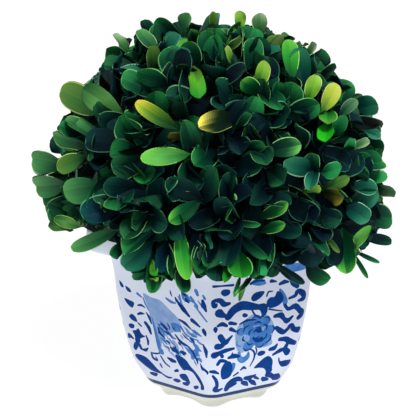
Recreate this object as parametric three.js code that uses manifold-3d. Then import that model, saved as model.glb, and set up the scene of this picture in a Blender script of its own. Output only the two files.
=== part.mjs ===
// A clipped ball of preserved box (Buxus) on a hexagonal blue and white porcelain pot.
// Millimetres, +Z up. The origin is on the pot's axis, on the plane that its six feet stand on.
import * as THREE from "three";
import { mergeVertices } from "three/addons/utils/BufferGeometryUtils.js";
import Module from "manifold-3d";

const wasm = await Module();
wasm.setup();

const TAU = Math.PI * 2;
const CLEAR = 0.3; // gap between neighbouring pieces

// Pot: a six-sided porcelain cachepot with rounded corners, one corner turned a little off -Y.
const POT_SIDES = 6;
const POT_TURN = -4; // degrees, from -Y to the front corner
const FOOT_ARCH = 3.2; // how far the edge between two feet is lifted
const CORNER_POINTS = 3; // points round each rounded corner
const SIDE_SHARES = [0.14, 0.36, 0.64, 0.86]; // points along a flat side
const POT_OUTSIDE = [
  // [radius to a corner, height, radius of the rounded corner as a share of that radius]
  [33.7, 0, 0.3],
  [36.6, 4.6, 0.29],
  [43.6, 9.0, 0.26],
  [46.6, 13.2, 0.24],
  [52.6, 24, 0.2],
  [57.8, 42, 0.17],
  [61.6, 62, 0.15],
  [64.4, 84, 0.14],
  [66.4, 89.4, 0.14],
  [75.4, 92.6, 0.13],
  [78.3, 94.4, 0.12],
  [78.8, 104.4, 0.12],
  [77.6, 105.6, 0.12],
];
const POT_INSIDE = [
  [67.4, 105.6, 0.13],
  [65.2, 103.4, 0.13],
  [60.4, 86, 0.14],
  [57.4, 62, 0.15],
  [53.6, 42, 0.17],
  [48.2, 24, 0.2],
  [40.6, 13.6, 0.24],
  [33, 9.6, 0.28],
];
const FOOT_INNER = 27.4; // inner edge of the foot ring
const RECESS_HEIGHT = 4.4; // underside of the pot inside the foot ring

// Filling: a plug of floral foam with a low mossy top.
const FILL_BOTTOM = 14.6;
const FILL_EDGE = 92;
const FILL_TOP = 96.5;
const FILL_GAP = 0.8; // corner radius less than the pot's inside by this

// Stem: a short turned stick in the foam that carries the ball.
const STEM_FOOT = 40;
const STEM_TIP = 112;
const STEM_FOOT_RADIUS = 8.5;
const STEM_TIP_RADIUS = 6.5;

// Ball: everything of it stays inside this space.
const BALL_CENTRE = 119;
const BALL_RADIUS = 103.6;
const BALL_RISE = 100.6; // from the centre to the top tips
const SKIRT_DROP = 38; // from the centre down to the lowest tips, outside the rim
const SKIRT_LEAN = 13; // how much lower they hang at the right end, and higher at the left
const SKIRT_RADIUS = 96; // reach of those lowest tips
const CORE_SHARE = 0.7; // core size as a share of the ball
const CORE_BASE = 107;
const CORE_PLUG = 99.5; // underside of the core inside the pot's mouth
const CORE_PLUG_RADIUS = 48;
const POT_ROOM = 0.8; // leaves and twigs keep this far from the pot

// Sprigs: short twigs set all over the core by the golden angle, and a ring of them low down
// that droops over the pot's rim.
const SEED = 20260;
const SPRIGS = 72;
const LOWEST_SPRIG = 0.02; // sine of the angle above the centre
const SKIRT_SPRIGS = 21;
const SKIRT_SINE = -0.1;
const GOLDEN = Math.PI * (3 - Math.sqrt(5));
const TWIG_ROOT = 1.9; // radius of the triangular section
const TWIG_TIP = 1.15;
const TWIG_LENGTH = 19;
const LEAF_LENGTH = 28;
const LEAF_WIDTH = 15.2;
const LEAF_THICK = 1.5;
const LEAF_WIDEST = 0.6; // share of the length from its foot
const DROOP = 1.25; // how much the lowest leaves hang
const LEAF_CUP = 1.5; // how far the edges stand above the midrib
const SHORTEST_EDGE = 0.004; // a join that leaves a shorter edge is not made
// Leaves on a sprig: [share along the twig, turn about it in degrees, splay from it in degrees]
const LEAF_PLACES = [
  [0.52, 0, 52],
  [0.52, 180, 52],
  [0.86, 90, 38],
  [0.86, 270, 38],
  [0.98, 20, 14],
];

// ---------------------------------------------------------------- tools

// A repeatable stream of numbers from 0 to 1.
function stream(seed) {
  let s = seed >>> 0;
  return () => {
    s = (Math.imul(s, 1664525) + 1013904223) >>> 0;
    return s / 4294967296;
  };
}

function solidFrom(geometry) {
  const bare = geometry.clone();
  for (const name of Object.keys(bare.attributes)) {
    if (name !== "position") {
      bare.deleteAttribute(name);
    }
  }
  const merged = mergeVertices(bare, 1e-4);
  return new wasm.Manifold(
    new wasm.Mesh({
      numProp: 3,
      vertProperties: new Float32Array(merged.attributes.position.array),
      triVerts: new Uint32Array(merged.index.array),
    }),
  );
}

function geometryFrom(solid) {
  const mesh = solid.getMesh();
  const count = mesh.vertProperties.length / mesh.numProp;
  const positions = new Float32Array(count * 3);
  for (let i = 0; i < count; i++) {
    for (let k = 0; k < 3; k++) {
      positions[i * 3 + k] = mesh.vertProperties[i * mesh.numProp + k];
    }
  }
  const geometry = new THREE.BufferGeometry();
  geometry.setAttribute("position", new THREE.BufferAttribute(positions, 3));
  geometry.setIndex(new THREE.BufferAttribute(new Uint32Array(mesh.triVerts), 1));
  geometry.computeVertexNormals();
  return geometry;
}

// The biggest closed shell of a solid, with sealed hollows filled and loose scraps dropped.
function mainBody(solid) {
  let best = null;
  for (const piece of solid.decompose()) {
    if (piece.volume() > 0 && (best === null || piece.volume() > best.volume())) {
      best = piece;
    }
  }
  return best;
}

// A closed skin over rings of equal point counts, with a fan at each end.
function skin(rings) {
  const count = rings[0].length;
  const positions = [];
  const index = [];
  for (const ring of rings) {
    for (const point of ring) {
      positions.push(point.x, point.y, point.z);
    }
  }
  for (let r = 0; r + 1 < rings.length; r++) {
    for (let i = 0; i < count; i++) {
      const a = r * count + i;
      const b = r * count + ((i + 1) % count);
      index.push(a, b, b + count, a, b + count, a + count);
    }
  }
  for (const [ring, first] of [[0, true], [rings.length - 1, false]]) {
    const centre = new THREE.Vector3();
    for (const point of rings[ring]) {
      centre.addScaledVector(point, 1 / count);
    }
    const c = positions.length / 3;
    positions.push(centre.x, centre.y, centre.z);
    for (let i = 0; i < count; i++) {
      const a = ring * count + i;
      const b = ring * count + ((i + 1) % count);
      index.push(...(first ? [c, b, a] : [c, a, b]));
    }
  }
  const geometry = new THREE.BufferGeometry();
  geometry.setAttribute("position", new THREE.Float32BufferAttribute(positions, 3));
  geometry.setIndex(index);
  return geometry;
}

// ---------------------------------------------------------------- pot

// One ring of a rounded hexagon. lift(share) gives the height added along a side.
function hexagonRing(radius, height, rounding, lift = () => 0, shares = SIDE_SHARES) {
  const ring = [];
  const cornerRadius = radius * rounding;
  const cornerCentre = radius - cornerRadius / Math.cos(Math.PI / POT_SIDES);
  const half = Math.PI / POT_SIDES;
  const corner = (k) => THREE.MathUtils.degToRad(-90 + POT_TURN + (360 / POT_SIDES) * k);
  const onArc = (k, t) => {
    const a = corner(k);
    const b = a + t * half;
    return new THREE.Vector2(
      cornerCentre * Math.cos(a) + cornerRadius * Math.cos(b),
      cornerCentre * Math.sin(a) + cornerRadius * Math.sin(b),
    );
  };
  for (let k = 0; k < POT_SIDES; k++) {
    for (let j = 0; j < CORNER_POINTS; j++) {
      const p = onArc(k, -1 + (2 * j) / (CORNER_POINTS - 1));
      ring.push(new THREE.Vector3(p.x, p.y, height));
    }
    const from = onArc(k, 1);
    const to = onArc(k + 1, -1);
    for (const share of shares) {
      const p = from.clone().lerp(to, share);
      ring.push(new THREE.Vector3(p.x, p.y, height + lift(share)));
    }
  }
  return ring;
}

function archLift(share) {
  return share > 0.3 && share < 0.7 ? FOOT_ARCH : 0;
}

function potGeometry() {
  const rings = [];
  rings.push(hexagonRing(FOOT_INNER - 2, RECESS_HEIGHT, 0.32));
  rings.push(hexagonRing(FOOT_INNER, 0, 0.32, archLift));
  POT_OUTSIDE.forEach(([radius, height, rounding], i) => {
    rings.push(hexagonRing(radius, height, rounding, i === 0 ? archLift : undefined));
  });
  for (const [radius, height, rounding] of POT_INSIDE) {
    rings.push(hexagonRing(radius, height, rounding));
  }
  return skin(rings);
}

// Radius to a corner of the pot's outside or inside at a height.
function profileAt(profile, height) {
  const sorted = [...profile].sort((p, q) => p[1] - q[1]);
  if (height <= sorted[0][1]) {
    return sorted[0];
  }
  for (let i = 0; i + 1 < sorted.length; i++) {
    const [low, high] = [sorted[i], sorted[i + 1]];
    if (height <= high[1]) {
      const t = (height - low[1]) / Math.max(high[1] - low[1], 1e-6);
      return low.map((value, k) => value + t * (high[k] - value));
    }
  }
  return sorted[sorted.length - 1];
}

// The closed space that the pot and its mouth take up, with room round it.
function potRoom() {
  const rings = [];
  for (const [radius, height, rounding] of POT_OUTSIDE.slice(4)) {
    const grown = height > 90 && height < 94 ? -POT_ROOM : 0;
    rings.push(hexagonRing(radius + POT_ROOM * 1.2, height + grown, rounding));
  }
  rings.push(hexagonRing(POT_INSIDE[0][0] + 8, POT_INSIDE[0][1] + POT_ROOM, 0.12));
  return solidFrom(skin(rings));
}

// ---------------------------------------------------------------- filling and stem

function stemSolid(grow) {
  const height = STEM_TIP - STEM_FOOT + 2 * grow;
  const geometry = new THREE.CylinderGeometry(
    STEM_TIP_RADIUS + grow,
    STEM_FOOT_RADIUS + grow,
    height,
    14,
    3,
  );
  geometry.rotateX(Math.PI / 2);
  const places = geometry.attributes.position;
  for (let i = 0; i < places.count; i++) {
    const t = places.getZ(i) / height;
    const swell = 1 + 0.05 * Math.sin(t * 9);
    places.setX(i, places.getX(i) * swell);
    places.setY(i, places.getY(i) * swell);
  }
  geometry.translate(0, 0, (STEM_TIP + STEM_FOOT) / 2);
  return solidFrom(geometry);
}

function fillSolid() {
  const plain = (radius, height, rounding) => hexagonRing(radius, height, rounding, undefined, []);
  const rings = [];
  for (const height of [FILL_BOTTOM, 24, 42, 62, 86, FILL_EDGE]) {
    const [radius, , rounding] = profileAt(POT_INSIDE, height);
    rings.push(plain(radius - FILL_GAP, height, rounding));
  }
  rings.push(plain(46, FILL_EDGE + 0.72 * (FILL_TOP - FILL_EDGE), 0.5));
  rings.push(plain(24, FILL_TOP, 0.8));
  return solidFrom(skin(rings)).subtract(stemSolid(CLEAR));
}

// ---------------------------------------------------------------- ball

// Share of the ball's space that a point reaches: 1 on its surface.
function reach(point) {
  const flat = Math.hypot(point.x, point.y);
  const up = point.z - BALL_CENTRE;
  if (up >= 0) {
    return Math.hypot(flat / BALL_RADIUS, up / BALL_RISE);
  }
  const drop = -up / (SKIRT_DROP + (SKIRT_LEAN * point.x) / BALL_RADIUS);
  const side = BALL_RADIUS + (SKIRT_RADIUS - BALL_RADIUS) * drop * drop;
  return Math.max(flat / side, drop);
}

function coreSolid() {
  const profile = [new THREE.Vector2(0, CORE_PLUG), new THREE.Vector2(CORE_PLUG_RADIUS, CORE_PLUG)];
  profile.push(new THREE.Vector2(CORE_PLUG_RADIUS + 8, CORE_BASE));
  const wide = BALL_RADIUS * CORE_SHARE;
  const rise = BALL_RISE * CORE_SHARE;
  const start = Math.asin((CORE_BASE - BALL_CENTRE) / rise);
  const steps = 7;
  for (let i = 0; i <= steps; i++) {
    const a = start + ((Math.PI / 2 - start) * i) / steps;
    const radius = i === steps ? 0 : wide * Math.cos(a);
    profile.push(new THREE.Vector2(radius, BALL_CENTRE + rise * Math.sin(a)));
  }
  const geometry = new THREE.LatheGeometry(profile, 22);
  geometry.rotateX(Math.PI / 2);
  return solidFrom(geometry);
}

// A frame at the root of one sprig: where it starts and which way it grows.
function sprigFrame(i) {
  const random = stream(SEED + i * 7919);
  const inSkirt = i >= SPRIGS;
  const share = (i + 0.5) / SPRIGS;
  const sine = inSkirt ? SKIRT_SINE + 0.06 * (i % 2) : 1 - share * (1 - LOWEST_SPRIG);
  const turn = inSkirt ? ((i - SPRIGS) / SKIRT_SPRIGS) * TAU : i * GOLDEN;
  const cosine = Math.sqrt(1 - sine * sine);
  const out = new THREE.Vector3(cosine * Math.cos(turn), cosine * Math.sin(turn), sine);
  const root = new THREE.Vector3(
    out.x * BALL_RADIUS,
    out.y * BALL_RADIUS,
    out.z * BALL_RISE,
  ).multiplyScalar(CORE_SHARE);
  root.z += BALL_CENTRE;
  const lean = new THREE.Vector3(random() - 0.5, random() - 0.5, random() - 0.5);
  const grow = out.clone().addScaledVector(lean, inSkirt ? 0.3 : 0.5);
  const low = inSkirt ? 1 : THREE.MathUtils.clamp((0.3 - sine) / 0.5, 0, 1);
  grow.z -= 0.35 * low * (0.6 + 0.6 * random());
  grow.normalize();
  const spin = random() * TAU;
  return { random, root, grow, spin, low, out };
}

// A direction turned away from the axis by splay, at a turn about it.
function splayed(axis, turn, splay) {
  const hint = Math.abs(axis.z) < 0.9 ? new THREE.Vector3(0, 0, 1) : new THREE.Vector3(1, 0, 0);
  const u = new THREE.Vector3().crossVectors(hint, axis).normalize();
  const v = new THREE.Vector3().crossVectors(axis, u);
  const side = u.multiplyScalar(Math.cos(turn)).addScaledVector(v, Math.sin(turn));
  const along = axis.clone().multiplyScalar(Math.cos(splay)).addScaledVector(side, Math.sin(splay));
  return { along, side };
}

// A three-sided tapering twig from its root along grow.
function twigSolid(root, grow, length) {
  const geometry = new THREE.CylinderGeometry(TWIG_TIP, TWIG_ROOT, length, 3, 1);
  geometry.translate(0, length / 2, 0);
  const { side } = splayed(grow, 0, 0);
  const third = new THREE.Vector3().crossVectors(side, grow);
  geometry.applyMatrix4(new THREE.Matrix4().makeBasis(side, grow, third).setPosition(root));
  return solidFrom(geometry);
}

// An eight-faced cupped leaf: an octahedron drawn out, its widest part past the middle.
function leafGeometry(foot, along, side, length, width, fold) {
  const geometry = new THREE.OctahedronGeometry(1, 0);
  const places = geometry.attributes.position;
  const cup = LEAF_CUP * fold;
  for (let i = 0; i < places.count; i++) {
    const [x, y, z] = [places.getX(i), places.getY(i), places.getZ(i)];
    const isEnd = Math.abs(y) > 0.5;
    const isEdge = Math.abs(x) > 0.5;
    places.setXYZ(
      i,
      (x * width) / 2,
      isEnd ? (y > 0 ? length : 0) : length * LEAF_WIDEST,
      isEdge ? cup : (z * LEAF_THICK) / 2,
    );
  }
  const third = new THREE.Vector3().crossVectors(side, along);
  const frame = new THREE.Matrix4().makeBasis(side, along, third).setPosition(foot);
  geometry.applyMatrix4(frame);
  return geometry;
}

function farthestReach(geometry) {
  const places = geometry.attributes.position;
  const point = new THREE.Vector3();
  let most = 0;
  for (let i = 0; i < places.count; i++) {
    most = Math.max(most, reach(point.fromBufferAttribute(places, i)));
  }
  return most;
}

// The shortest edge of a solid.
function shortestEdge(solid) {
  const { vertProperties: places, triVerts: corners, numProp } = solid.getMesh();
  let least = Infinity;
  for (let i = 0; i < corners.length; i++) {
    const a = corners[i] * numProp;
    const b = corners[i % 3 === 2 ? i - 2 : i + 1] * numProp;
    const dx = places[a] - places[b];
    const dy = places[a + 1] - places[b + 1];
    const dz = places[a + 2] - places[b + 2];
    least = Math.min(least, dx * dx + dy * dy + dz * dz);
  }
  return Math.sqrt(least);
}

function boxesMeet(a, b) {
  return [0, 1, 2].every((k) => a.min[k] <= b.max[k] && b.min[k] <= a.max[k]);
}

// Joins the first of some trial shapes that leaves no sliver. Gives null where none does.
function joinCleanly(body, trials) {
  for (const trial of trials) {
    const joined = body.add(trial);
    if (shortestEdge(joined) > SHORTEST_EDGE) {
      return joined;
    }
  }
  return null;
}

// The leaves of one sprig that stay in the ball's space and clear of the pot.
function sprigLeaves(frame, start, length, room) {
  const made = [];
  for (const [share, turn, splay] of LEAF_PLACES) {
    const wobble = frame.random();
    const size = 0.88 + 0.24 * frame.random();
    const splayNow = splay * (0.85 + 0.3 * wobble) * (1 - 0.2 * frame.low);
    const turnNow = frame.spin + THREE.MathUtils.degToRad(turn);
    const { along, side } = splayed(frame.grow, turnNow, THREE.MathUtils.degToRad(splayNow));
    along.z -= DROOP * frame.low;
    along.normalize();
    const across = new THREE.Vector3().crossVectors(along, side).normalize();
    const foot = start.clone().addScaledVector(frame.grow, length * share - 3.2);
    for (const shorter of [1, 0.95, 0.9, 0.85, 0.8, 0.75, 0.7]) {
      const long = LEAF_LENGTH * size * shorter;
      const wide = LEAF_WIDTH * size * Math.sqrt(shorter);
      const leaf = leafGeometry(foot, along, across, long, wide, wobble > 0.5 ? 1 : 0.6);
      if (farthestReach(leaf) <= 1) {
        const solid = solidFrom(leaf);
        if (solid.intersect(room).isEmpty()) {
          made.push({ solid, along });
        }
        break;
      }
    }
  }
  return made;
}

// All sprigs fused into the core. A leaf that would leave the ball's space, come near the pot,
// run into another sprig's leaf or meet its twig in a mere sliver is left out.
function ballSolid() {
  const room = potRoom();
  const others = [];
  let ball = coreSolid().subtract(stemSolid(CLEAR));
  for (let s = 0; s < SPRIGS + SKIRT_SPRIGS; s++) {
    const frame = sprigFrame(s);
    const length = TWIG_LENGTH * (0.82 + 0.3 * frame.random());
    const start = frame.root.clone().addScaledVector(frame.grow, -7);
    const twig = twigSolid(start, frame.grow, length);
    if (!twig.intersect(room).isEmpty()) {
      continue;
    }
    const nudges = [0, 0.4, 0.8, 1.2].map((d) => frame.grow.clone().multiplyScalar(-d).toArray());
    const grown = joinCleanly(ball, nudges.map((nudge) => twig.translate(nudge)));
    if (grown === null) {
      continue;
    }
    ball = grown;
    const own = [];
    for (const { solid, along } of sprigLeaves(frame, start, length, room)) {
      const box = solid.boundingBox();
      const meets = others.some(
        (other) => boxesMeet(other.box, box) && !other.solid.intersect(solid).isEmpty(),
      );
      if (meets) {
        continue;
      }
      const trials = [0, 0.3, 0.6, 0.9].map((d) => {
        return solid.translate(along.clone().multiplyScalar(-d).toArray());
      });
      const joined = joinCleanly(ball, trials);
      if (joined !== null) {
        ball = joined;
        own.push({ solid, box });
      }
    }
    others.push(...own);
  }
  return mainBody(ball);
}

// ---------------------------------------------------------------- assembly

function piece(name, geometry, colour, roughness) {
  const material = new THREE.MeshStandardMaterial({ color: colour, roughness, metalness: 0 });
  const mesh = new THREE.Mesh(geometry, material);
  mesh.name = name;
  return mesh;
}

const group = new THREE.Group();
group.add(piece("pot", potGeometry(), 0xe4e5f0, 0.25));
group.add(piece("pot_fill", geometryFrom(fillSolid()), 0x3a4a2a, 0.95));
group.add(piece("stem", geometryFrom(stemSolid(0)), 0x6b5238, 0.85));
group.add(piece("foliage_ball", geometryFrom(ballSolid()), 0x1f5a2b, 0.55));

export default group;
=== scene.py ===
"""A preserved box topiary ball on a six-sided blue and white porcelain pot."""

import math

import bpy
import numpy as np
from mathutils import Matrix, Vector, noise
from mathutils.geometry import delaunay_2d_cdt


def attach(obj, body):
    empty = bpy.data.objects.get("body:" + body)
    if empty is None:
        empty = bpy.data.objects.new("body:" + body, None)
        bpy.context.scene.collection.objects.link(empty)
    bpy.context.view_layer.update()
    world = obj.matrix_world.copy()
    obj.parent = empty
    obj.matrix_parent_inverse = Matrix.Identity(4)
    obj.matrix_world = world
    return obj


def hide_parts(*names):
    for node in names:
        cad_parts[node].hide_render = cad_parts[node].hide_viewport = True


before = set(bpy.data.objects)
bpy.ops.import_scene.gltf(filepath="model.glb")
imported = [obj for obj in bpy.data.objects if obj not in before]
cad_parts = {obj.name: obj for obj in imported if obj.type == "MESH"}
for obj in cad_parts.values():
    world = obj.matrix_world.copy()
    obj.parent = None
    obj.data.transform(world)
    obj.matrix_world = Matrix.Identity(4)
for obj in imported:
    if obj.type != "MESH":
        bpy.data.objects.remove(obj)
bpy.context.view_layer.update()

MM = 0.001
TAU = 2 * math.pi
SIXTH = math.pi / 3
SEED = 20260

# ------------------------------------------------------------------ the pot's sizes (mm)
# They are as in the solids, apart from the first three rows and the depth of the foot's arches.

POT_OUTSIDE = [
    # radius to a corner, height, corner rounding as a share of the radius
    (35.2, 0, 0.35), (38.0, 4.6, 0.33), (44.0, 9.0, 0.28), (46.6, 13.2, 0.24),
    (52.6, 24, 0.20), (57.8, 42, 0.17), (61.6, 62, 0.15), (64.4, 84, 0.14),
    (66.4, 89.4, 0.14), (75.4, 92.6, 0.13), (78.3, 94.4, 0.12), (78.8, 104.4, 0.12),
    (77.6, 105.6, 0.12),
]
POT_INSIDE = [
    (67.4, 105.6, 0.13), (65.2, 103.4, 0.13), (60.4, 86, 0.14), (57.4, 62, 0.15),
    (53.6, 42, 0.17), (48.2, 24, 0.20), (40.6, 13.6, 0.24), (33.0, 9.6, 0.28),
]
POT_HEIGHT = 105.6
LIP_CROWN = 0.25
FIRST_CORNER = math.radians(-94)
FOOT_RADIUS, _, FOOT_ROUNDING = POT_OUTSIDE[0]
WELL_RADIUS, WELL_HEIGHT, WELL_ROUNDING = POT_INSIDE[-1]
FOOT_ARCH = 2.0
ARCH_START, ARCH_RUN = 0.06, 0.34  # shares of a side from its corner
ARCH_FADES_AT = 7
RECESS_RADIUS, RECESS_ROUNDING, RECESS_HEIGHT = 27.4, 0.32, 4.4
FILL_GAP = 0.8
FILL_BOTTOM, FILL_EDGE, FILL_TOP = 14.6, 92, 96.5
STEM_FOOT, STEM_TIP = 40, 112
STEM_FOOT_RADIUS, STEM_TIP_RADIUS = 8.5, 6.5

# ------------------------------------------------------------------ the ball's sizes (mm)
# The ball's reach, its sprigs and their leaves' places are as in the solids.

BALL_CENTRE = 119
BALL_RADIUS = 103.6
BALL_RISE = 100.6
BALL_SIZE = np.array([BALL_RADIUS, BALL_RADIUS, BALL_RISE])
SKIRT_DROP, SKIRT_LEAN, SKIRT_RADIUS = 38, 13, 96
CORE_SHARE = 0.7
SPRIGS = 72
LOWEST_SPRIG = 0.02
SKIRT_SPRIGS = 21
SKIRT_SINE = -0.1
GOLDEN = math.pi * (3 - math.sqrt(5))
TWIG_LENGTH = 19
LEAF_LENGTH, LEAF_WIDTH = 28, 15.2
DROOP = 1.25
POT_ROOM = 0.8  # between a leaf and the pot
# A sprig's leaves: share of its length, degrees round it and degrees away from it.
LEAF_PLACES = [(0.52, 0, 52), (0.52, 180, 52), (0.86, 90, 38), (0.86, 270, 38), (0.98, 20, 14)]

# The finer shoots, the inner leaves and the inner ball's form are of the scene alone.
FINE_SHOOTS = 2
FINE_LEAVES = [(0.7, 0, 34), (0.98, 160, 22)]
INNER_LEAVES, INNER_LOWEST, INNER_SHARE = 330, -0.2, 0.77
INNER_BALL_LOWEST, INNER_BALL_SHARE, INNER_BALL_LUMPS = -0.19, 0.75, 0.02

# ------------------------------------------------------------------ camera, floor and light

CAMERA_TARGET = Vector((-4.2, 0, 108.3)) * MM
CAMERA_DISTANCE = 0.6
CAMERA_RISE = math.radians(15.5)
CAMERA_BACK = Vector((0, -math.cos(CAMERA_RISE), math.sin(CAMERA_RISE)))
SENSOR_WIDTH = 36
FOCAL_PIXELS, PICTURE_PIXELS = 1047, 416
WORLD_LIGHT = 0.38
FLOOR_GLOW = 0.92
FLOOR_HALF = 14
SUNS = {
    # towards the lamp, spread in degrees, strength
    "key": ((0.32, -0.75, 1.0), 16, 2.6),
    "fill": ((-0.6, -1.0, 0.35), 40, 0.4),
    "back": ((-0.3, 1.0, 0.3), 40, 0.8),
}


def add_object(name, data):
    made = bpy.data.objects.new(name, data)
    bpy.context.scene.collection.objects.link(made)
    return made


def make_camera():
    data = bpy.data.cameras.new("camera")
    data.lens = FOCAL_PIXELS / PICTURE_PIXELS * SENSOR_WIDTH
    data.sensor_width = SENSOR_WIDTH
    data.clip_start = 0.01
    camera = add_object("camera", data)
    camera.location = CAMERA_TARGET + CAMERA_BACK * CAMERA_DISTANCE
    camera.rotation_euler = CAMERA_BACK.to_track_quat("Z", "Y").to_euler()
    bpy.context.scene.camera = camera


def make_stage():
    scene = bpy.context.scene
    scene.view_settings.view_transform = "Standard"
    scene.view_settings.look = "None"
    world = bpy.data.worlds.new("studio")
    world.use_nodes = True
    sky = world.node_tree.nodes["Background"].inputs
    sky["Color"].default_value = (1, 1, 1, 1)
    sky["Strength"].default_value = WORLD_LIGHT
    scene.world = world
    for name, (towards, spread, strength) in SUNS.items():
        data = bpy.data.lights.new(name, "SUN")
        data.energy = strength
        data.angle = math.radians(spread)
        sun = add_object(name, data)
        sun.rotation_euler = Vector(towards).to_track_quat("Z", "Y").to_euler()
    mesh = bpy.data.meshes.new("floor")
    r = FLOOR_HALF
    mesh.from_pydata([(-r, -r, 0), (r, -r, 0), (r, r, 0), (-r, r, 0)], [], [(0, 1, 2, 3)])
    floor = add_object("floor", mesh)
    paint = material("floor_white", (0.14, 0.14, 0.14), 0.9, specular=0)
    glow = paint.node_tree.nodes["Principled BSDF"].inputs
    glow["Emission Color"].default_value = (1, 1, 1, 1)
    glow["Emission Strength"].default_value = FLOOR_GLOW
    mesh.materials.append(paint)


# ------------------------------------------------------------------ materials

def material(name, colour, roughness, specular=0.5, tint=(1, 1, 1), bump=None, mottle=None):
    """A Principled material. bump is (noise scale, distance in m); mottle is (scale, colour)."""
    made = bpy.data.materials.new(name)
    made.use_nodes = True
    nodes, links = made.node_tree.nodes, made.node_tree.links
    shader = nodes["Principled BSDF"].inputs

    def add(kind, **values):
        node = nodes.new("ShaderNode" + kind)
        for socket, value in values.items():
            node.inputs[socket.replace("_", " ")].default_value = value
        return node

    shader["Base Color"].default_value = (*colour, 1)
    shader["Roughness"].default_value = roughness
    shader["Specular IOR Level"].default_value = specular
    shader["Specular Tint"].default_value = (*tint, 1)
    if bump or mottle:
        place = add("TexCoord").outputs["Object"]
    if bump:
        grain = add("TexNoise", Scale=bump[0], Detail=3)
        relief = add("Bump", Distance=bump[1], Strength=1)
        links.new(place, grain.inputs["Vector"])
        links.new(grain.outputs["Fac"], relief.inputs["Height"])
        links.new(relief.outputs["Normal"], shader["Normal"])
    if bump and mottle:
        spread = add("MapRange", To_Min=roughness * 0.8, To_Max=min(1, roughness * 1.25))
        links.new(grain.outputs["Fac"], spread.inputs["Value"])
        links.new(spread.outputs["Result"], shader["Roughness"])
    if mottle:
        patches = add("TexNoise", Scale=mottle[0], Detail=4)
        mix = nodes.new("ShaderNodeMix")
        mix.data_type = "RGBA"
        mix.inputs["A"].default_value = (*colour, 1)
        mix.inputs["B"].default_value = (*mottle[1], 1)
        links.new(place, patches.inputs["Vector"])
        links.new(patches.outputs["Fac"], mix.inputs["Factor"])
        links.new(mix.outputs["Result"], shader["Base Color"])
    return made


def srgb(r, g, b):
    def linear(c):
        c /= 255
        return c / 12.92 if c <= 0.04045 else ((c + 0.055) / 1.055) ** 2.4
    return tuple(linear(c) for c in (r, g, b))


# ------------------------------------------------------------------ mesh making

def make_piece(name, vertices, faces, materials, replaces, picks=None, normals=None):
    """One object from points in mm. picks gives each face's material number, 0 without it."""
    mesh = bpy.data.meshes.new(name)
    mesh.from_pydata((np.asarray(vertices, float) * MM).tolist(), [], faces)
    for paint in materials:
        mesh.materials.append(paint)
    if picks is not None:
        mesh.polygons.foreach_set("material_index", np.asarray(picks, np.int32))
    mesh.polygons.foreach_set("use_smooth", np.ones(len(faces), bool))
    mesh.update()
    if normals is not None:
        mesh.normals_split_custom_set_from_vertices(np.asarray(normals, float).tolist())
    piece = add_object(name, mesh)
    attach(piece, "root")
    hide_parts(replaces)


def ring_faces(rings, around, top=True):
    """Quads between rings of points in rows, with the first ring closed, and the last with top."""
    faces = []
    for r in range(rings - 1):
        for i in range(around):
            j = (i + 1) % around
            faces.append((r * around + i, r * around + j, (r + 1) * around + j, (r + 1) * around + i))
    faces.append(tuple(range(around))[::-1])
    if top:
        faces.append(tuple((rings - 1) * around + i for i in range(around)))
    return faces


def spline(points, steps):
    """A centripetal curve through points, with steps samples on each stretch."""
    points = [np.asarray(p, float) for p in points]
    ends = [2 * points[0] - points[1]] + points + [2 * points[-1] - points[-2]]
    out = []
    for a, b, c, d in zip(ends, ends[1:], ends[2:], ends[3:]):
        t1 = max(np.linalg.norm(b - a), 1e-6) ** 0.5
        t2 = t1 + max(np.linalg.norm(c - b), 1e-6) ** 0.5
        t3 = t2 + max(np.linalg.norm(d - c), 1e-6) ** 0.5
        for i in range(steps):
            t = t1 + (t2 - t1) * i / steps
            e = a + (b - a) * t / t1
            f = b + (c - b) * (t - t1) / (t2 - t1)
            g = c + (d - c) * (t - t2) / (t3 - t2)
            h = e + (f - e) * t / t2
            k = f + (g - f) * (t - t1) / (t3 - t1)
            out.append(h + (k - h) * (t - t1) / (t2 - t1))
    out.append(points[-1])
    return np.array(out)


def closed_spline(points, steps=5):
    """A smooth closed outline through points."""
    n = len(points)
    points = [np.asarray(p, float) for p in points]
    out = []
    for i in range(n):
        a, b, c, d = (points[(i + k - 1) % n] for k in range(4))
        for s in range(steps):
            t = s / steps
            out.append(0.5 * (2 * b + (c - a) * t + (2 * a - 5 * b + 4 * c - d) * t * t
                              + (3 * b - a - 3 * c + d) * t ** 3))
    return np.array(out)


# ------------------------------------------------------------------ the pot's wall

OUTER = spline([(r, z, c * 100) for r, z, c in POT_OUTSIDE], 14)
INNER = spline([(r, z, c * 100) for r, z, c in POT_INSIDE], 10)
PAINT_LOW, PAINT_HIGH = 9.0, 90.0
PANEL_WIDE = 60.0  # a panel's drawing is made on a sheet this wide
STEP_ACROSS, STEP_UP = 0.004, 0.8  # for the wall's normals


def hexagon_point(radius, rounding, panel, t):
    """A point of a rounded hexagon: t runs 0 to 1 from the middle of one corner to the next."""
    curve = radius * rounding
    half = SIXTH / 2
    side = radius - curve / math.cos(half)  # also the distance to the corners' centres
    first = FIRST_CORNER + SIXTH * panel
    last = first + SIXTH
    arc = curve * half
    total = 2 * arc + side
    along = t * total
    if along < arc:
        a, b = first, first + along / curve
    elif along > arc + side:
        a, b = last, last - (total - along) / curve
    else:
        start = (side * math.cos(first) + curve * math.cos(first + half),
                 side * math.sin(first) + curve * math.sin(first + half))
        end = (side * math.cos(last) + curve * math.cos(last - half),
               side * math.sin(last) + curve * math.sin(last - half))
        share = (along - arc) / side
        return start[0] + (end[0] - start[0]) * share, start[1] + (end[1] - start[1]) * share
    return (side * math.cos(a) + curve * math.cos(b), side * math.sin(a) + curve * math.sin(b))


def outer_row(z):
    """The pot's outside at a height: radius to a corner, height and rounding in hundredths."""
    radius, rounding = (float(np.interp(z, OUTER[:, 1], OUTER[:, k])) for k in (0, 2))
    return radius, z, rounding


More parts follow.
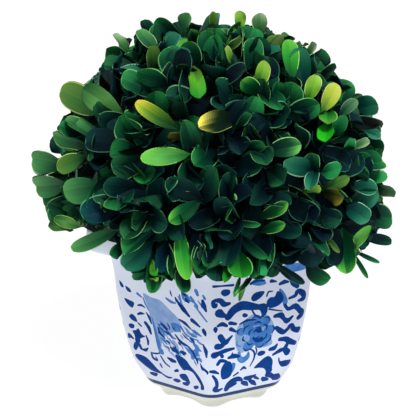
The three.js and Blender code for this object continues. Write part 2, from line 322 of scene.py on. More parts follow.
def wall_point(panel, t, z):
    radius, _, rounding = outer_row(z)
    x, y = hexagon_point(radius, rounding / 100, panel, t)
    return x, y, z


def wall_normal(panel, t, z):
    """Normal of the painted wall, from small steps along it."""
    low, high = max(t - STEP_ACROSS, 0), min(t + STEP_ACROSS, 1)
    across = np.subtract(wall_point(panel, high, z), wall_point(panel, low, z))
    up = np.subtract(wall_point(panel, t, z + STEP_UP), wall_point(panel, t, z - STEP_UP))
    normal = np.cross(across, up)
    return normal / np.linalg.norm(normal)


# ------------------------------------------------------------------ the pot's painting

# Each panel is a list of marks: its colour, then its points as (share across, height). A brush
# stroke's points have its width as their third number, and a filled shape's points have none.
WASH, MID, DARK, BAND, FOOT = 1, 2, 3, 4, 5  # material numbers: 0 is the white glaze
SCROLL_PANEL = [
    (MID, (.68, 86.2), (.7, 89.2), (.84, 89.5), (.93, 88.2), (.92, 84.6), (.8, 84)),
    (WASH, (.27, 50), (.285, 56), (.36, 60), (.44, 62.5), (.5, 60.5), (.58, 61), (.64, 57),
     (.68, 52), (.665, 46), (.68, 41.5), (.58, 40.5), (.5, 43), (.42, 41), (.34, 39.5), (.29, 43)),
    (MID, (.44, 50), (.5, 52.5), (.56, 51), (.62, 48.5), (.64, 44.5), (.62, 41.8), (.56, 41),
     (.5, 42.5), (.44, 44), (.42, 47)),
    (DARK, (.45, 51), (.48, 53.4), (.53, 53), (.55, 50.8), (.51, 50.4), (.48, 51.6)),
    (DARK, (.46, 48.8), (.5, 47), (.56, 47.5), (.58, 45), (.52, 44.3), (.47, 46)),
    (DARK, (.31, 58, .8), (.38, 59.5, 1.3), (.47, 59, .7)),
    (DARK, (.19, 63.5, 3.4), (.24, 67, 4.2), (.32, 69, 4.6), (.42, 67.5, 3.8), (.5, 66.2, 2.6)),
    (DARK, (.5, 66.5, 3), (.54, 65.5, 4.4), (.55, 62, 3), (.53, 60, 1)),
    (DARK, (.42, 66, .8), (.46, 62, 1), (.52, 59.5, 1)),
    (DARK, (.33, 63), (.345, 64.3), (.38, 63.4), (.385, 62), (.35, 61.6)),
    (DARK, (.05, 83, 1.4), (.12, 82.6, .9), (.23, 82, 1.4)),
    (DARK, (.115, 78.5), (.14, 80.3), (.2, 79.5), (.2, 77), (.15, 76.2)),
    (DARK, (.06, 71.8, 3), (.05, 74, 2.2), (.11, 74.2, 2.4), (.15, 71.6, 2.8), (.2, 71.5, 1.6)),
    (DARK, (.1, 67, 4.2), (.13, 65.6, 3.2), (.18, 64, 1.2)),
    (DARK, (.045, 57.5), (.065, 59.2), (.09, 57.6), (.07, 55.2)),
    (DARK, (.09, 59.3, 1.4), (.13, 60, 2.4), (.18, 58.4, 1.4)),
    (DARK, (.21, 59.8, 2), (.27, 58.6, 1.4)),
    (DARK, (.22, 56, 2.2), (.27, 54, 1.2)),
    (DARK, (.115, 52.5, 3), (.14, 50, 3), (.17, 48.4, 3.4), (.2, 49.6, 2), (.235, 51.6, 1)),
    (DARK, (.085, 46.6, 3.4), (.12, 46.4, 3), (.17, 48.2, 2.2)),
    (DARK, (.055, 41.2, 3.6), (.1, 42, 2.6), (.17, 43, 2.4), (.26, 43.4, 1.4)),
    (DARK, (.12, 41.6, 1.6), (.14, 39.6, 2)),
    (DARK, (.09, 35, 1.8), (.12, 37, 2.2), (.18, 36, 1.6)),
    (DARK, (.21, 38, 1.6), (.27, 38.4, 2.8), (.32, 37.6, 1.6)),
    (DARK, (.24, 38.6, 1.6), (.25, 40.6, .8)),
    (MID, (.32, 40, 1.6), (.33, 36.4, 2.8), (.37, 34.6, 3.4), (.42, 36.4, 2.8), (.425, 39, 1)),
    (DARK, (.125, 30), (.15, 34), (.19, 36), (.24, 34.6), (.26, 30), (.25, 26), (.2, 24),
     (.14, 24.6)),
    (MID, (.25, 34), (.29, 33.4), (.285, 30), (.26, 27.4), (.25, 30)),
    (DARK, (0, 30.6, 1.2), (.05, 30.4, 2.2), (.1, 28.8, 1)),
    (DARK, (.04, 27.5, 1.4), (.075, 24, 2), (.085, 20, 2.2), (.065, 16.8, 3.6), (.1, 16, 2.4),
     (.15, 16.8, 1.2)),
    (DARK, (.445, 41, .8), (.49, 38.5, 1.1), (.5, 34.5, 1.1), (.465, 29.5, .6)),
    (DARK, (.5, 41.5, .7), (.52, 38.5, .9), (.505, 35.6, .5)),
    (DARK, (.53, 37), (.56, 38.4), (.61, 37.8), (.62, 36), (.58, 35), (.545, 35.4)),
    (DARK, (.36, 28.2, 1), (.39, 29.4, 1.8), (.42, 28.4, .8)),
    (DARK, (.28, 25, 1), (.33, 26.6, 1.2)),
    (DARK, (.515, 27.6), (.57, 31), (.63, 33.6), (.68, 33.6), (.73, 30.4), (.745, 26), (.76, 22.5),
     (.7, 20.2), (.68, 23.4), (.64, 26), (.58, 27)),
    (DARK, (.72, 21, 3.4), (.8, 18.6, 2.4), (.86, 17.4, 4.4), (.93, 15.6, 2.4)),
    (DARK, (.8, 31, .8), (.82, 28.4, 1), (.88, 26.6, 3.8), (.95, 26.2, 3.6)),
    (DARK, (.67, 18.6, 2), (.71, 17.2, 3), (.76, 16.4, 1.6)),
    (DARK, (.21, 15.8, 3.6), (.235, 19, 4), (.28, 21.4, 3.6), (.34, 22, 3.2), (.39, 20.6, 2)),
    (DARK, (.25, 17.6, 3), (.32, 18.8, 2)),
    (DARK, (.41, 18.6, 2.4), (.46, 17, 3), (.5, 15, 1)),
    (DARK, (.43, 21.6, 2.2), (.49, 21, 3.4), (.56, 22.4, 1)),
    (DARK, (.5, 19, 1.8), (.56, 16.6, 2.8), (.62, 14, 1)),
    (DARK, (.56, 20.6, 1.8), (.62, 18.6, 1)),
    (MID, (.4, 81), (.45, 82.6), (.52, 82), (.55, 79.6), (.48, 79)),
    (DARK, (.4, 81, 1.4), (.45, 82.4, 1.8), (.53, 81.6, 1)),
    (DARK, (.6, 80.6, 2), (.65, 79.8, .8)),
    (DARK, (.69, 78, 1.6), (.73, 78.8, 2.4), (.77, 78.4, 1.2)),
    (DARK, (.79, 79.6, 1.2), (.82, 77, 2.2), (.87, 74.8, 2.2)),
    (DARK, (.855, 77.6), (.88, 78.8), (.92, 78.2), (.905, 76), (.87, 76)),
    (DARK, (.41, 72.6), (.45, 75.4), (.54, 75.2), (.51, 72), (.44, 70.2)),
    (DARK, (.565, 72, .8), (.58, 74.4, 1), (.62, 74.4, .6)),
    (DARK, (.57, 69), (.6, 71), (.645, 71), (.67, 74), (.72, 72), (.74, 68.4), (.7, 65.4),
     (.62, 64.4), (.575, 66)),
    (MID, (.69, 75.4), (.73, 73.4), (.77, 69.6), (.785, 66), (.76, 63), (.735, 66), (.72, 70),
     (.69, 72)),
    (DARK, (.8, 68.4, 1.4), (.86, 69.6, 2), (.88, 71.8, 2.6), (.94, 69.8, 3), (.95, 67, 3),
     (.9, 66, 1.4)),
    (DARK, (.6, 64, 1), (.66, 62.8, .8), (.74, 61.4, .6)),
    (DARK, (.76, 65, 1.2), (.8, 62, 2), (.87, 63, 3), (.92, 60.4, 2.6), (.965, 57.4, 3.6),
     (.93, 55.4, 2.6)),
    (DARK, (.67, 59, 2), (.73, 59, 3), (.77, 56.4, 2), (.81, 54.6, 3), (.86, 56.8, 1.4)),
    (DARK, (.7, 51.6, 2), (.74, 49.6, 2.8), (.79, 47.8, 2.6), (.83, 49.4, 2), (.86, 51.2, 2.8),
     (.9, 48.6, 2.6), (.96, 47.4, 3.4)),
    (DARK, (.76, 43.6, 2), (.83, 43, 2.8), (.89, 40.8, 3), (.965, 38.8, 2.2)),
    (DARK, (.87, 40.6, 2), (.85, 36.6, 2.8), (.89, 33.8, 3.6)),
    (DARK, (.72, 34.2, 1.4), (.79, 36, 2.6), (.85, 36.6, 2)),
    (DARK, (.67, 38.2, 2), (.72, 38.6, 2.8), (.74, 40.4, 1.4)),
]
FAN_PANEL = [
    (WASH, (.315, 70.6), (.4, 69.4), (.5, 68.8), (.6, 64.6), (.7, 59.6), (.71, 53), (.62, 51),
     (.52, 47), (.465, 42), (.44, 37.6), (.4, 37.4), (.39, 48), (.37, 57), (.35, 63.6)),
    (MID, (.385, 57), (.405, 54), (.425, 47), (.445, 41), (.42, 37), (.4, 37.4), (.392, 46)),
    (MID, (.6, 56.4), (.69, 57), (.7, 53.4), (.64, 52)),
    (DARK, (.055, 75), (.09, 73.6), (.1, 71.4), (.065, 71.6)),
    (DARK, (.12, 72.6), (.17, 71.4), (.18, 69.4), (.135, 69.8)),
    (MID, (.25, 69.6, 1.4), (.29, 68.2, 1)),
    (DARK, (.09, 64.8), (.15, 64.4), (.2, 63.4), (.17, 60), (.12, 61.4)),
    (DARK, (.24, 62.4, .8), (.28, 63, 1.3), (.32, 62.2, .6)),
    (DARK, (.11, 54), (.15, 56), (.19, 54.6), (.2, 51.6), (.14, 52)),
    (DARK, (.22, 56.6, .8), (.26, 57.8, 1.6), (.3, 58, .6)),
    (DARK, (.21, 51, 1), (.24, 49.6, 1)),
    (DARK, (.08, 48), (.11, 49.6), (.155, 49.2), (.14, 47), (.1, 46.4)),
    (DARK, (.03, 39.8, 1.6), (.06, 41.2, 2.8), (.1, 40, 1.2)),
    (DARK, (.115, 45), (.16, 46), (.2, 47.6), (.225, 44.6), (.265, 43.2), (.2, 41.2), (.18, 38.2),
     (.12, 38), (.13, 42)),
    (DARK, (.09, 33.6, 2.4), (.12, 36, 2.8), (.155, 37, 2.4), (.175, 34.6, 2)),
    (DARK, (.19, 34, 1.2), (.23, 34.2, 1.8), (.27, 36, .7)),
    (DARK, (.28, 44, 1), (.29, 41, 1.6), (.28, 38.4, 1)),
    (DARK, (.33, 59, .8), (.355, 56.6, 1.8), (.37, 53, .8)),
    (DARK, (.3, 52.4, 2), (.33, 50, 2.4), (.345, 46.4, 1.4)),
    (MID, (.31, 68, .7), (.33, 64.6, 1), (.36, 61, .6)),
    (MID, (.57, 71, 1), (.62, 69.6, 1.6), (.67, 69.4, .8)),
    (DARK, (.7, 70, 1.6), (.75, 67, 2.6), (.81, 63.6, 1.4)),
    (DARK, (.7, 60, 1), (.76, 58.6, 1.8), (.82, 56, .8)),
    (DARK, (.84, 61.6, 2.2), (.88, 60.2, 1.8), (.92, 58.8, 1)),
    (DARK, (.94, 57), (.96, 58.2), (.985, 56), (.98, 53.4), (.955, 54.6)),
    (MID, (.835, 75, 1.4), (.86, 73, 1.8)),
    (MID, (.87, 70.6, .7), (.93, 67, 1), (.99, 62.4, .7)),
    (DARK, (.955, 74.6, 1.4), (.965, 71.6, 2.4), (.985, 68.6, 1)),
    (MID, (.89, 79.6, 2), (.905, 77.4, 1.6)),
    (MID, (.96, 77.6, 1), (.975, 75.8, 1.2)),
    (MID, (.71, 56, 1.2), (.76, 52, .8), (.83, 50.4, .8), (.9, 50, .6)),
    (DARK, (.64, 49.8, .8), (.7, 46, 1.8), (.78, 44.4, 1), (.83, 41.6, 1.2), (.86, 38, 1.2)),
    (MID, (.8, 43.4), (.84, 43), (.88, 46), (.9, 42), (.87, 38.8), (.81, 36.6)),
    (DARK, (.67, 39.4), (.7, 40.8), (.75, 40), (.74, 38.4), (.69, 38.4)),
    (DARK, (.57, 40.6, 1.4), (.6, 39.4, 2.4), (.625, 41.8, 1)),
    (DARK, (.51, 33, 1.2), (.555, 32.2, 2.6), (.6, 32, 1.6)),
    (DARK, (.53, 44.4, 1.2), (.56, 43.6, 1.2)),
    (DARK, (.95, 48, .8), (.975, 44, 2), (.98, 40, .8)),
    (DARK, (.05, 27.4), (.08, 29.6), (.15, 30), (.22, 29), (.28, 26), (.33, 22.6), (.385, 20.2),
     (.3, 19.8), (.21, 20.6), (.12, 24)),
    (DARK, (.61, 36.4), (.67, 36.8), (.74, 35), (.79, 31.6), (.85, 28.6), (.9, 25), (.935, 20),
     (.93, 16.4), (.89, 16.4), (.895, 20), (.86, 23.6), (.81, 27.6), (.74, 28.4), (.69, 27.6),
     (.64, 31)),
    (DARK, (.91, 36), (.94, 33.4), (.995, 30.6), (.985, 28.4), (.96, 30.4), (.92, 31.6)),
    (DARK, (.62, 23), (.66, 24.6), (.72, 25), (.75, 21), (.74, 18.4), (.69, 19.4), (.64, 20.4)),
    (DARK, (.52, 17.6, 1.8), (.56, 18, 2.8), (.6, 18.6, 1.6)),
    (DARK, (.65, 17, 2), (.69, 17.4, 2.6), (.73, 19, 1.6)),
    (DARK, (.37, 20, 1.2), (.43, 18.6, 1.6), (.5, 19.2, .7)),
    (DARK, (.18, 17.6, 2), (.23, 17.8, 2.8), (.28, 18.8, 1.2)),
    (DARK, (.81, 16.4, 2.4), (.85, 17.8, 1.8)),
    (DARK, (.3, 33.6, 1), (.31, 30.2, 1.6), (.36, 29.6, 1.4), (.35, 31.4, .7)),
    (DARK, (.31, 33.4, .8), (.36, 33.8, 1), (.41, 34.6, .7)),
    (DARK, (.42, 33, 1), (.46, 29, 1.2), (.51, 27.2, .9)),
    (DARK, (.39, 27, 1.4), (.4, 25.2, 1)),
    (MID, (.4, 35), (.43, 37.4), (.47, 36), (.45, 34.2)),
    (DARK, (.57, 25, 1.2), (.61, 26.2, 1.8)),
]


def stream(seed):
    """The same repeatable numbers from 0 to 1 that the solids use."""
    state = [seed & 0xFFFFFFFF]

    def draw():
        state[0] = (state[0] * 1664525 + 1013904223) & 0xFFFFFFFF
        return state[0] / 4294967296
    return draw


def dashes(marks, count, left, right, low, high, run, seed):
    """Adds small slanting strokes of the three blues, dealt out over a part of the panel."""
    draw = stream(seed)
    for _ in range(count):
        t = left + (right - left) * draw()
        z = low + (high - low) * draw()
        dt, dz = run[0] * (0.4 + draw()), run[1] * (0.4 + draw())
        bow = 0.02 * (draw() - 0.5)
        colour = (WASH, MID, MID, DARK)[int(4 * draw())]
        wide = 0.7 + 1.3 * draw()
        bend = (t + dt / 2 + bow, z + dz / 2 + 30 * bow, wide)
        marks.append((colour, (t, z, 0.5 * wide), bend, (t + dt, z + dz, 0.4 * wide)))


def blossom(marks, t, z, wide, high, seed):
    """Adds a round flower of overlapping petals, each with a dark line round its outer side."""
    draw = stream(seed)
    for share, count in ((0.74, 9), (0.42, 6), (0.1, 3)):
        for k in range(count):
            turn = TAU * (k + draw() * 0.5) / count
            x, y = t + wide * share * math.cos(turn), z + high * share * math.sin(turn)
            size = 0.23 + 0.07 * draw()
            angles = [turn + TAU * m / 7 for m in range(7)]
            ring = [(x + wide * size * math.cos(a), y + high * size * math.sin(a)) for a in angles]
            marks.append((MID if draw() < 0.6 else WASH, *ring))
            line = [(*ring[m], width) for m, width in ((6, 0.4), (0, 1.1), (1, 0.4))]
            marks.append((MID if draw() < 0.2 else DARK, *line))


def ribbon(points, widths):
    """The outline of a brush stroke along points, with round ends, in sheet mm."""
    path = spline(points, 4)
    wide = np.interp(np.linspace(0, 1, len(path)), np.linspace(0, 1, len(widths)), widths) / 2
    step = np.gradient(path, axis=0)
    step /= np.maximum(np.linalg.norm(step, axis=1), 1e-9)[:, None]
    side = np.stack([-step[:, 1], step[:, 0]], 1)

    def cap(centre, radius, start):
        turn = [start + math.pi * k / 4 for k in (1, 2, 3)]
        return [centre + radius * np.array([math.cos(a), math.sin(a)]) for a in turn]
    head = math.atan2(side[-1, 1], side[-1, 0])
    tail = math.atan2(-side[0, 1], -side[0, 0])
    out = list(path - side * wide[:, None]) + cap(path[-1], wide[-1], head - math.pi)
    out += list((path + side * wide[:, None])[::-1]) + cap(path[0], wide[0], tail - math.pi)
    return np.array(out)


BRUSH = 1.2
SHEET_MARGIN, BAND_MARGIN = 0.15, 0.3
BAND_LOW, BAND_HIGH = 10.0, 12.7
NECK_LOW, NECK_HIGH = 85.6, 88.4
LEVELS = (PAINT_LOW, BAND_LOW, BAND_HIGH, NECK_LOW, NECK_HIGH, PAINT_HIGH)  # cut right across
ROWS = [*LEVELS[:3], *np.arange(14.5, 85, 2.2).tolist(), *LEVELS[3:]]
COLUMNS = 26


def mark_outline(points):
    """The outline of one mark on the sheet, anticlockwise and off the sheet's edges."""
    places = [(point[0] * PANEL_WIDE, point[1]) for point in points]
    if len(points[0]) == 2:
        outline = closed_spline(places)
    else:
        outline = ribbon(places, [BRUSH * point[2] for point in points])
    x, z = outline[:, 0], outline[:, 1]
    if np.sum(x * np.roll(z, -1) - np.roll(x, -1) * z) < 0:
        outline = outline[::-1].copy()
    outline[:, 0] = np.clip(outline[:, 0], SHEET_MARGIN, PANEL_WIDE - SHEET_MARGIN)
    outline[:, 1] = np.clip(outline[:, 1], BAND_HIGH + BAND_MARGIN, PAINT_HIGH - BAND_MARGIN)
    return outline


def panel_mesh(marks):
    """Triangles of one panel's sheet, cut along its marks: points, triangles and colours."""
    points, edges, faces = [], [], []
    for _, *mark in marks:
        outline = mark_outline(mark)
        faces.append([len(points) + i for i in range(len(outline))])
        points += [tuple(p) for p in outline]
    for row in ROWS:
        first = len(points)
        points += [(PANEL_WIDE * i / COLUMNS, row) for i in range(COLUMNS + 1)]
        if row in LEVELS:
            edges += [(first + i, first + i + 1) for i in range(COLUMNS)]
        if row != ROWS[-1]:
            following = first + COLUMNS + 1
            edges += [(first, following), (first + COLUMNS, following + COLUMNS)]
    made = delaunay_2d_cdt([Vector(p) for p in points], edges, faces, 0, 1e-5)
    spots, triangles, sources = made[0], made[2], made[5]
    spots = np.array([(p[0], p[1]) for p in spots])
    picks = []
    for triangle, source in zip(triangles, sources):
        middle = spots[list(triangle)].mean(axis=0)[1]
        if middle > BAND_HIGH:
            picks.append(max([marks[s][0] for s in source], default=0))
        else:
            picks.append(BAND if middle > BAND_LOW else FOOT)
    return spots, triangles, picks


def pot_ring(row, lift=0.0):
    """Points round the pot for a row of radius, height and rounding in hundredths.

    lift raises the middle of each side.
    """
    radius, height, rounding = row
    out = []
    for panel in range(6):
        for i in range(COLUMNS):
            t = i / COLUMNS
            x, y = hexagon_point(radius, rounding / 100, panel, t)
            rise = min(max((0.5 - abs(t - 0.5) - ARCH_START) / ARCH_RUN, 0), 1)
            out.append((x, y, height + lift * rise * rise * (3 - 2 * rise)))
    return out


def foot_rings():
    """Rings of the foot's outside, and those from the middle of the recess out to the foot."""
    rounding = RECESS_ROUNDING * 100
    flat = RECESS_RADIUS - 2
    under = [pot_ring((flat * s, RECESS_HEIGHT, rounding)) for s in (0.02, 0.33, 0.66, 1)]
    under.append(pot_ring((RECESS_RADIUS - 1, 2.4, rounding), FOOT_ARCH * 0.5))
    under.append(pot_ring((RECESS_RADIUS, 0, rounding), FOOT_ARCH))
    under.append(pot_ring((FOOT_RADIUS, 0, FOOT_ROUNDING * 100), FOOT_ARCH))
    rows = [row for row in OUTER if row[1] < PAINT_LOW - BAND_MARGIN] + [outer_row(PAINT_LOW)]
    wall = [pot_ring(row, FOOT_ARCH * max(0, 1 - row[1] / ARCH_FADES_AT)) for row in rows]
    return wall, under


def mouth_rings():
    """Rings from the top of the painting over the rim and down the inside."""
    rim = [outer_row(PAINT_HIGH)] + [row for row in OUTER if row[1] > PAINT_HIGH + 0.1]
    lip = []
    for k in range(1, 8):
        crown = (0, LIP_CROWN * math.sin(math.pi * k / 8), 0)
        lip.append(OUTER[-1] + (INNER[0] - OUTER[-1]) * k / 8 + crown)
    well = [(WELL_RADIUS * s, WELL_HEIGHT, WELL_ROUNDING * 100) for s in (0.6, 0.3, 0.02)]
    return [pot_ring(row) for row in rim + lip + list(INNER) + well]


POT_PAINTS = [
    # name, colour, roughness, specular, scale and depth of the bump, scale and colour of the mottle
    ("glaze_white", (221, 228, 241), 0.16, 0.12, (55, 0.00025), 60, (206, 214, 236)),
    ("cobalt_wash", (94, 132, 192), 0.16, 0.08, (55, 0.00025), 220, (162, 188, 226)),
    ("cobalt_mid", (6, 82, 166), 0.16, 0.06, (55, 0.00025), 260, (90, 148, 210)),
    ("cobalt_dark", (0, 34, 98), 0.16, 0.05, (55, 0.00025), 200, (0, 74, 156)),
    ("cobalt_band", (10, 42, 92), 0.16, 0.1, (55, 0.00025), 120, (30, 70, 120)),
    ("foot_glaze", (224, 226, 214), 0.3, 0.2, (60, 0.0003), 50, (198, 202, 190)),
]


def make_pot():
    """The painted wall, sheet by sheet, and the foot, rim and inside, as rings that join it."""
    vertices, normals, faces, picks = [], [], [], []
    known = {}

    def add(point, normal):
        key = tuple(round(c * 2000) for c in point)
        if key in known:
            normals[known[key]] += normal
            return known[key]
        known[key] = len(vertices)
        vertices.append(point)
        normals.append(np.array(normal, float))
        return known[key]

    def face(corners, pick):
        if len(set(corners)) == len(corners):
            faces.append(corners)
            picks.append(pick)

    def grid(rings, pick):
        """Joins rings of points; the normals come from their neighbours."""
        table = np.array(rings)
        along = np.gradient(table, axis=0)
        around = np.roll(table, -1, axis=1) - np.roll(table, 1, axis=1)
        normal = np.cross(around, along)
        normal /= np.maximum(np.linalg.norm(normal, axis=2), 1e-9)[:, :, None]
        numbers = [[add(tuple(p), n) for p, n in zip(*pair)] for pair in zip(table, normal)]
        for lower, upper in zip(numbers, numbers[1:]):
            for i in range(len(lower)):
                j = (i + 1) % len(lower)
                face((lower[i], lower[j], upper[j], upper[i]), pick)

    scroll, fan = list(SCROLL_PANEL), list(FAN_PANEL)
    blossom(scroll, 0.475, 50.5, 0.2, 10.5, SEED * 7)
    dashes(fan, 64, 0.42, 0.9, 37, 57, (0.06, -3.4), SEED * 9)
    dashes(fan, 14, 0.55, 0.95, 70, 78, (0.04, -3), SEED * 11)
    sheets = [panel_mesh(scroll), panel_mesh(fan)]
    for panel in range(6):
        spots, triangles, colours = sheets[panel % 2]
        numbers = []
        for x, z in spots:
            t = min(max(x / PANEL_WIDE, 0), 1)
            numbers.append(add(wall_point(panel, t, z), wall_normal(panel, t, z)))
        for triangle, colour in zip(triangles, colours):
            face(tuple(numbers[i] for i in triangle), colour)
    wall, under = foot_rings()
    grid(wall, FOOT)
    grid(under, FOOT)
    grid(mouth_rings(), 0)
    normals = np.array(normals)
    normals /= np.maximum(np.linalg.norm(normals, axis=1), 1e-9)[:, None]
    paints = [material(name, srgb(*colour), roughness, specular, bump=bump,
                       mottle=(scale, srgb(*patch)))
              for name, colour, roughness, specular, bump, scale, patch in POT_PAINTS]
    make_piece("porcelain_pot", vertices, faces, paints, "pot", picks, normals)


# ------------------------------------------------------------------ filling and stem

FILL_WALL = (FILL_BOTTOM, 24, 34, 42, 52, 62, 74, 86, 90, FILL_EDGE)
FILL_DOME = (0.97, 0.92, 0.84, 0.74, 0.62, 0.5, 0.38, 0.26, 0.16)  # shares of the radius
FILL_CORNER, MOSS_LUMPS = 0.955, 1.1


def fill_radius(angle, height):
    """How far out the foam goes at an angle and height: just inside the pot's wall."""
    radii, heights, _ = zip(*POT_INSIDE[::-1])
    radius = float(np.interp(height, heights, radii)) - FILL_GAP
    turned = (angle - FIRST_CORNER) % SIXTH - SIXTH / 2
    flat = radius * math.cos(SIXTH / 2)
    return min(flat / math.cos(turned), radius * FILL_CORNER)


def make_fill():
    """Foam that stands in the pot, with a lumpy dome of moss on it."""
    vertices = []
    around = 96
    for share, height in [(1.0, z) for z in FILL_WALL] + [(s, None) for s in FILL_DOME]:
        for i in range(around):
            a = TAU * i / around
            level = FILL_EDGE if height is None else height
            radius = fill_radius(a, level) * share
            x, y = radius * math.cos(a), radius * math.sin(a)
            if height is None:
                rise = (FILL_TOP - FILL_EDGE) * (1 - share ** 2) ** 0.8
                lump = noise.fractal(Vector((x, y, 3)) * 0.11, 1, 2, 4)
                level = FILL_EDGE + rise + MOSS_LUMPS * lump
            vertices.append((x, y, level))
    faces = ring_faces(len(FILL_WALL + FILL_DOME), around)
    moss = material("moss", (0.035, 0.05, 0.015), 0.95, 0.2, bump=(420, 0.0012),
                    mottle=(160, (0.09, 0.1, 0.03)))
    make_piece("moss_filling", vertices, faces, [moss], "pot_fill")


def make_stem():
    """A tapered stem, slightly wavy and ridged."""
    vertices = []
    around, rows = 40, 60
    for r in range(rows + 1):
        t = r / rows
        z = STEM_FOOT + (STEM_TIP - STEM_FOOT) * t
        radius = STEM_FOOT_RADIUS + (STEM_TIP_RADIUS - STEM_FOOT_RADIUS) * t
        radius *= 1 + 0.05 * math.sin((t - 0.5) * 9)
        for i in range(around):
            a = TAU * i / around
            spot = Vector((math.cos(a) * 2.4, math.sin(a) * 2.4, z * 0.05))
            rough = radius - 0.25 + 0.5 * noise.fractal(spot, 1, 2, 5)
            vertices.append((rough * math.cos(a), rough * math.sin(a), z))
    bark = material("bark", (0.12, 0.075, 0.04), 0.85, 0.3, bump=(300, 0.0008),
                    mottle=(90, (0.2, 0.14, 0.09)))
    make_piece("bark_stem", vertices, ring_faces(rows + 1, around), [bark], "stem")


# ------------------------------------------------------------------ foliage

def unit(v):
    return v / max(np.linalg.norm(v), 1e-12)


def reach(points):
    """Share of the ball's space that points reach: 1 on its surface."""
    points = np.atleast_2d(points)
    flat = np.hypot(points[:, 0], points[:, 1])
    up = points[:, 2] - BALL_CENTRE
    over = np.hypot(flat / BALL_RADIUS, up / BALL_RISE)
    drop = np.clip(-up / (SKIRT_DROP + SKIRT_LEAN * points[:, 0] / BALL_RADIUS), 0, None)
    side = BALL_RADIUS + (SKIRT_RADIUS - BALL_RADIUS) * drop * drop
    return np.where(up >= 0, over, np.maximum(flat / side, drop))


def near_pot(points):
    """True where any point comes too near to the pot or goes into its mouth.

    The wall's corners are rounded, so it reaches a little less far out than a sharp hexagon.
    """
    z = points[:, 2]
    radius = np.interp(z, OUTER[:, 1], OUTER[:, 0]) + POT_ROOM * 1.2
    angle = np.arctan2(points[:, 1], points[:, 0]) - FIRST_CORNER
    turned = np.mod(angle, SIXTH) - SIXTH / 2
    edge = np.minimum(radius * math.cos(SIXTH / 2) / np.cos(turned), radius * 0.985)
    flat = np.hypot(points[:, 0], points[:, 1])
    return bool(np.any((z < POT_HEIGHT + POT_ROOM) & (flat < edge)))


def splayed(axis, turn, splay):
    """A direction that leans from axis by splay, on the side that turn gives, and that side."""
    hint = np.array([0, 0, 1.0]) if abs(axis[2]) < 0.9 else np.array([1.0, 0, 0])
    u = unit(np.cross(hint, axis))
    v = np.cross(axis, u)
    side = u * math.cos(turn) + v * math.sin(turn)
    return axis * math.cos(splay) + side * math.sin(splay), side


def outward(sine, turn):
    """The direction from the ball's centre at a height (its sine) and a turn."""
    cosine = math.sqrt(1 - sine * sine)
    return np.array([cosine * math.cos(turn), cosine * math.sin(turn), sine])


def ball_point(out, share):
    """The point in a direction from the ball's centre, at a share of its size."""
    point = out * BALL_SIZE * share
    point[2] += BALL_CENTRE
    return point


def sprig_frame(i):
    """A sprig as in the solids: its numbers, root, direction, spin and how low it is."""
    draw = stream(SEED + i * 7919)
    in_skirt = i >= SPRIGS
    share = (i + 0.5) / SPRIGS
    sine = SKIRT_SINE + 0.06 * (i % 2) if in_skirt else 1 - share * (1 - LOWEST_SPRIG)
    turn = (i - SPRIGS) / SKIRT_SPRIGS * TAU if in_skirt else i * GOLDEN
    out = outward(sine, turn)
    lean = np.array([draw() - 0.5, draw() - 0.5, draw() - 0.5])
    grow = out + lean * (0.3 if in_skirt else 0.5)
    low = 1.0 if in_skirt else min(max((0.3 - sine) / 0.5, 0), 1)
    grow[2] -= 0.35 * low * (0.6 + 0.6 * draw())
    spin = draw() * TAU
    return draw, ball_point(out, CORE_SHARE), unit(grow), spin, low


# Leaf outline: half width at shares of the length, widest past the middle and round at the tip.
SHAPE_AT = [0, .05, .12, .2, .3, .41, .52, .62, .72, .81, .89, .95, .985, 1.0]
SHAPE_WIDE = [.05, .09, .26, .47, .69, .86, .96, 1.0, .99, .93, .8, .6, .34, .0]
STATIONS = np.array([0.05 * k for k in range(19)] + [.965, .985, 1.0])
BANDS = len(STATIONS) - 1  # colours along the blade from foot to tip
OUTLINE = np.interp(STATIONS, SHAPE_AT, SHAPE_WIDE)
ACROSS = np.array([-1, -.9, -.45, -.05, .05, .45, .9, 1])
UNDER_COLUMNS = [2, 4, 5]  # the lower side has these and shares the edges
LEAF_THICK = 0.5
LEAF_SHEEN = (0.35, 0.9, 0.6)


def leaf_points(foot, along, across, up, length, width, form):
    """Upper and lower points of one leaf.

    form holds curl, which bends the tip towards -up, the cup of its blade, the height and phase
    of its waves, the twist along it, its sweep to one side, how far out it is widest, and how
    much wider one half is.
    """
    curl, cup, wave, phase, twist, sweep, fullness, skew = form
    s = STATIONS
    bend = curl * s ** 1.4
    x = np.concatenate([[0], np.cumsum((np.cos(bend[1:]) + np.cos(bend[:-1])) / 2 * np.diff(s))])
    z = np.concatenate([[0], np.cumsum(-(np.sin(bend[1:]) + np.sin(bend[:-1])) / 2 * np.diff(s))])
    outline = np.interp(s ** fullness, STATIONS, OUTLINE)
    s, bend, x, z = s[:, None], bend[:, None], x[:, None], z[:, None]
    u = ACROSS[None, :]
    wide = (outline * width / 2)[:, None] * (1 + skew * u)
    y = wide * u * (1 - 0.3 * cup * cup * u * u)
    rise = wide * cup * np.abs(u) ** 1.4
    rise = rise + wave * np.sin(s * 8 + phase + 1.7 * np.sign(u)) * u ** 2 * outline[:, None]
    rise = rise - 0.025 * width * np.exp(-(u / 0.16) ** 2) * np.minimum(s * 6, 1)
    turn = twist * s
    y, rise = y * np.cos(turn) - rise * np.sin(turn), y * np.sin(turn) + rise * np.cos(turn)
    px = length * x + rise * np.sin(bend)
    pz = length * z + rise * np.cos(bend)
    y = y + sweep * length * (s ** 2)
    top = foot + px[..., None] * along + y[..., None] * across + pz[..., None] * up
    thick = LEAF_THICK * (1 - np.abs(ACROSS[UNDER_COLUMNS]) ** 3) * np.minimum(1, outline * 3)[:, None]
    under = top[:, UNDER_COLUMNS] - thick[..., None] * up
    return top, under


# Painted shade and light across the blade: strips are shifted along its colours, darker in the
# midrib's crease and lighter towards the rim, which also makes the steps between bands ragged.
BAND_STEPS = (3, 2, 1, -2, -2, -1, 2)  # by strip: the midrib is darker, the rim lighter
PALE_FROM = 0.3


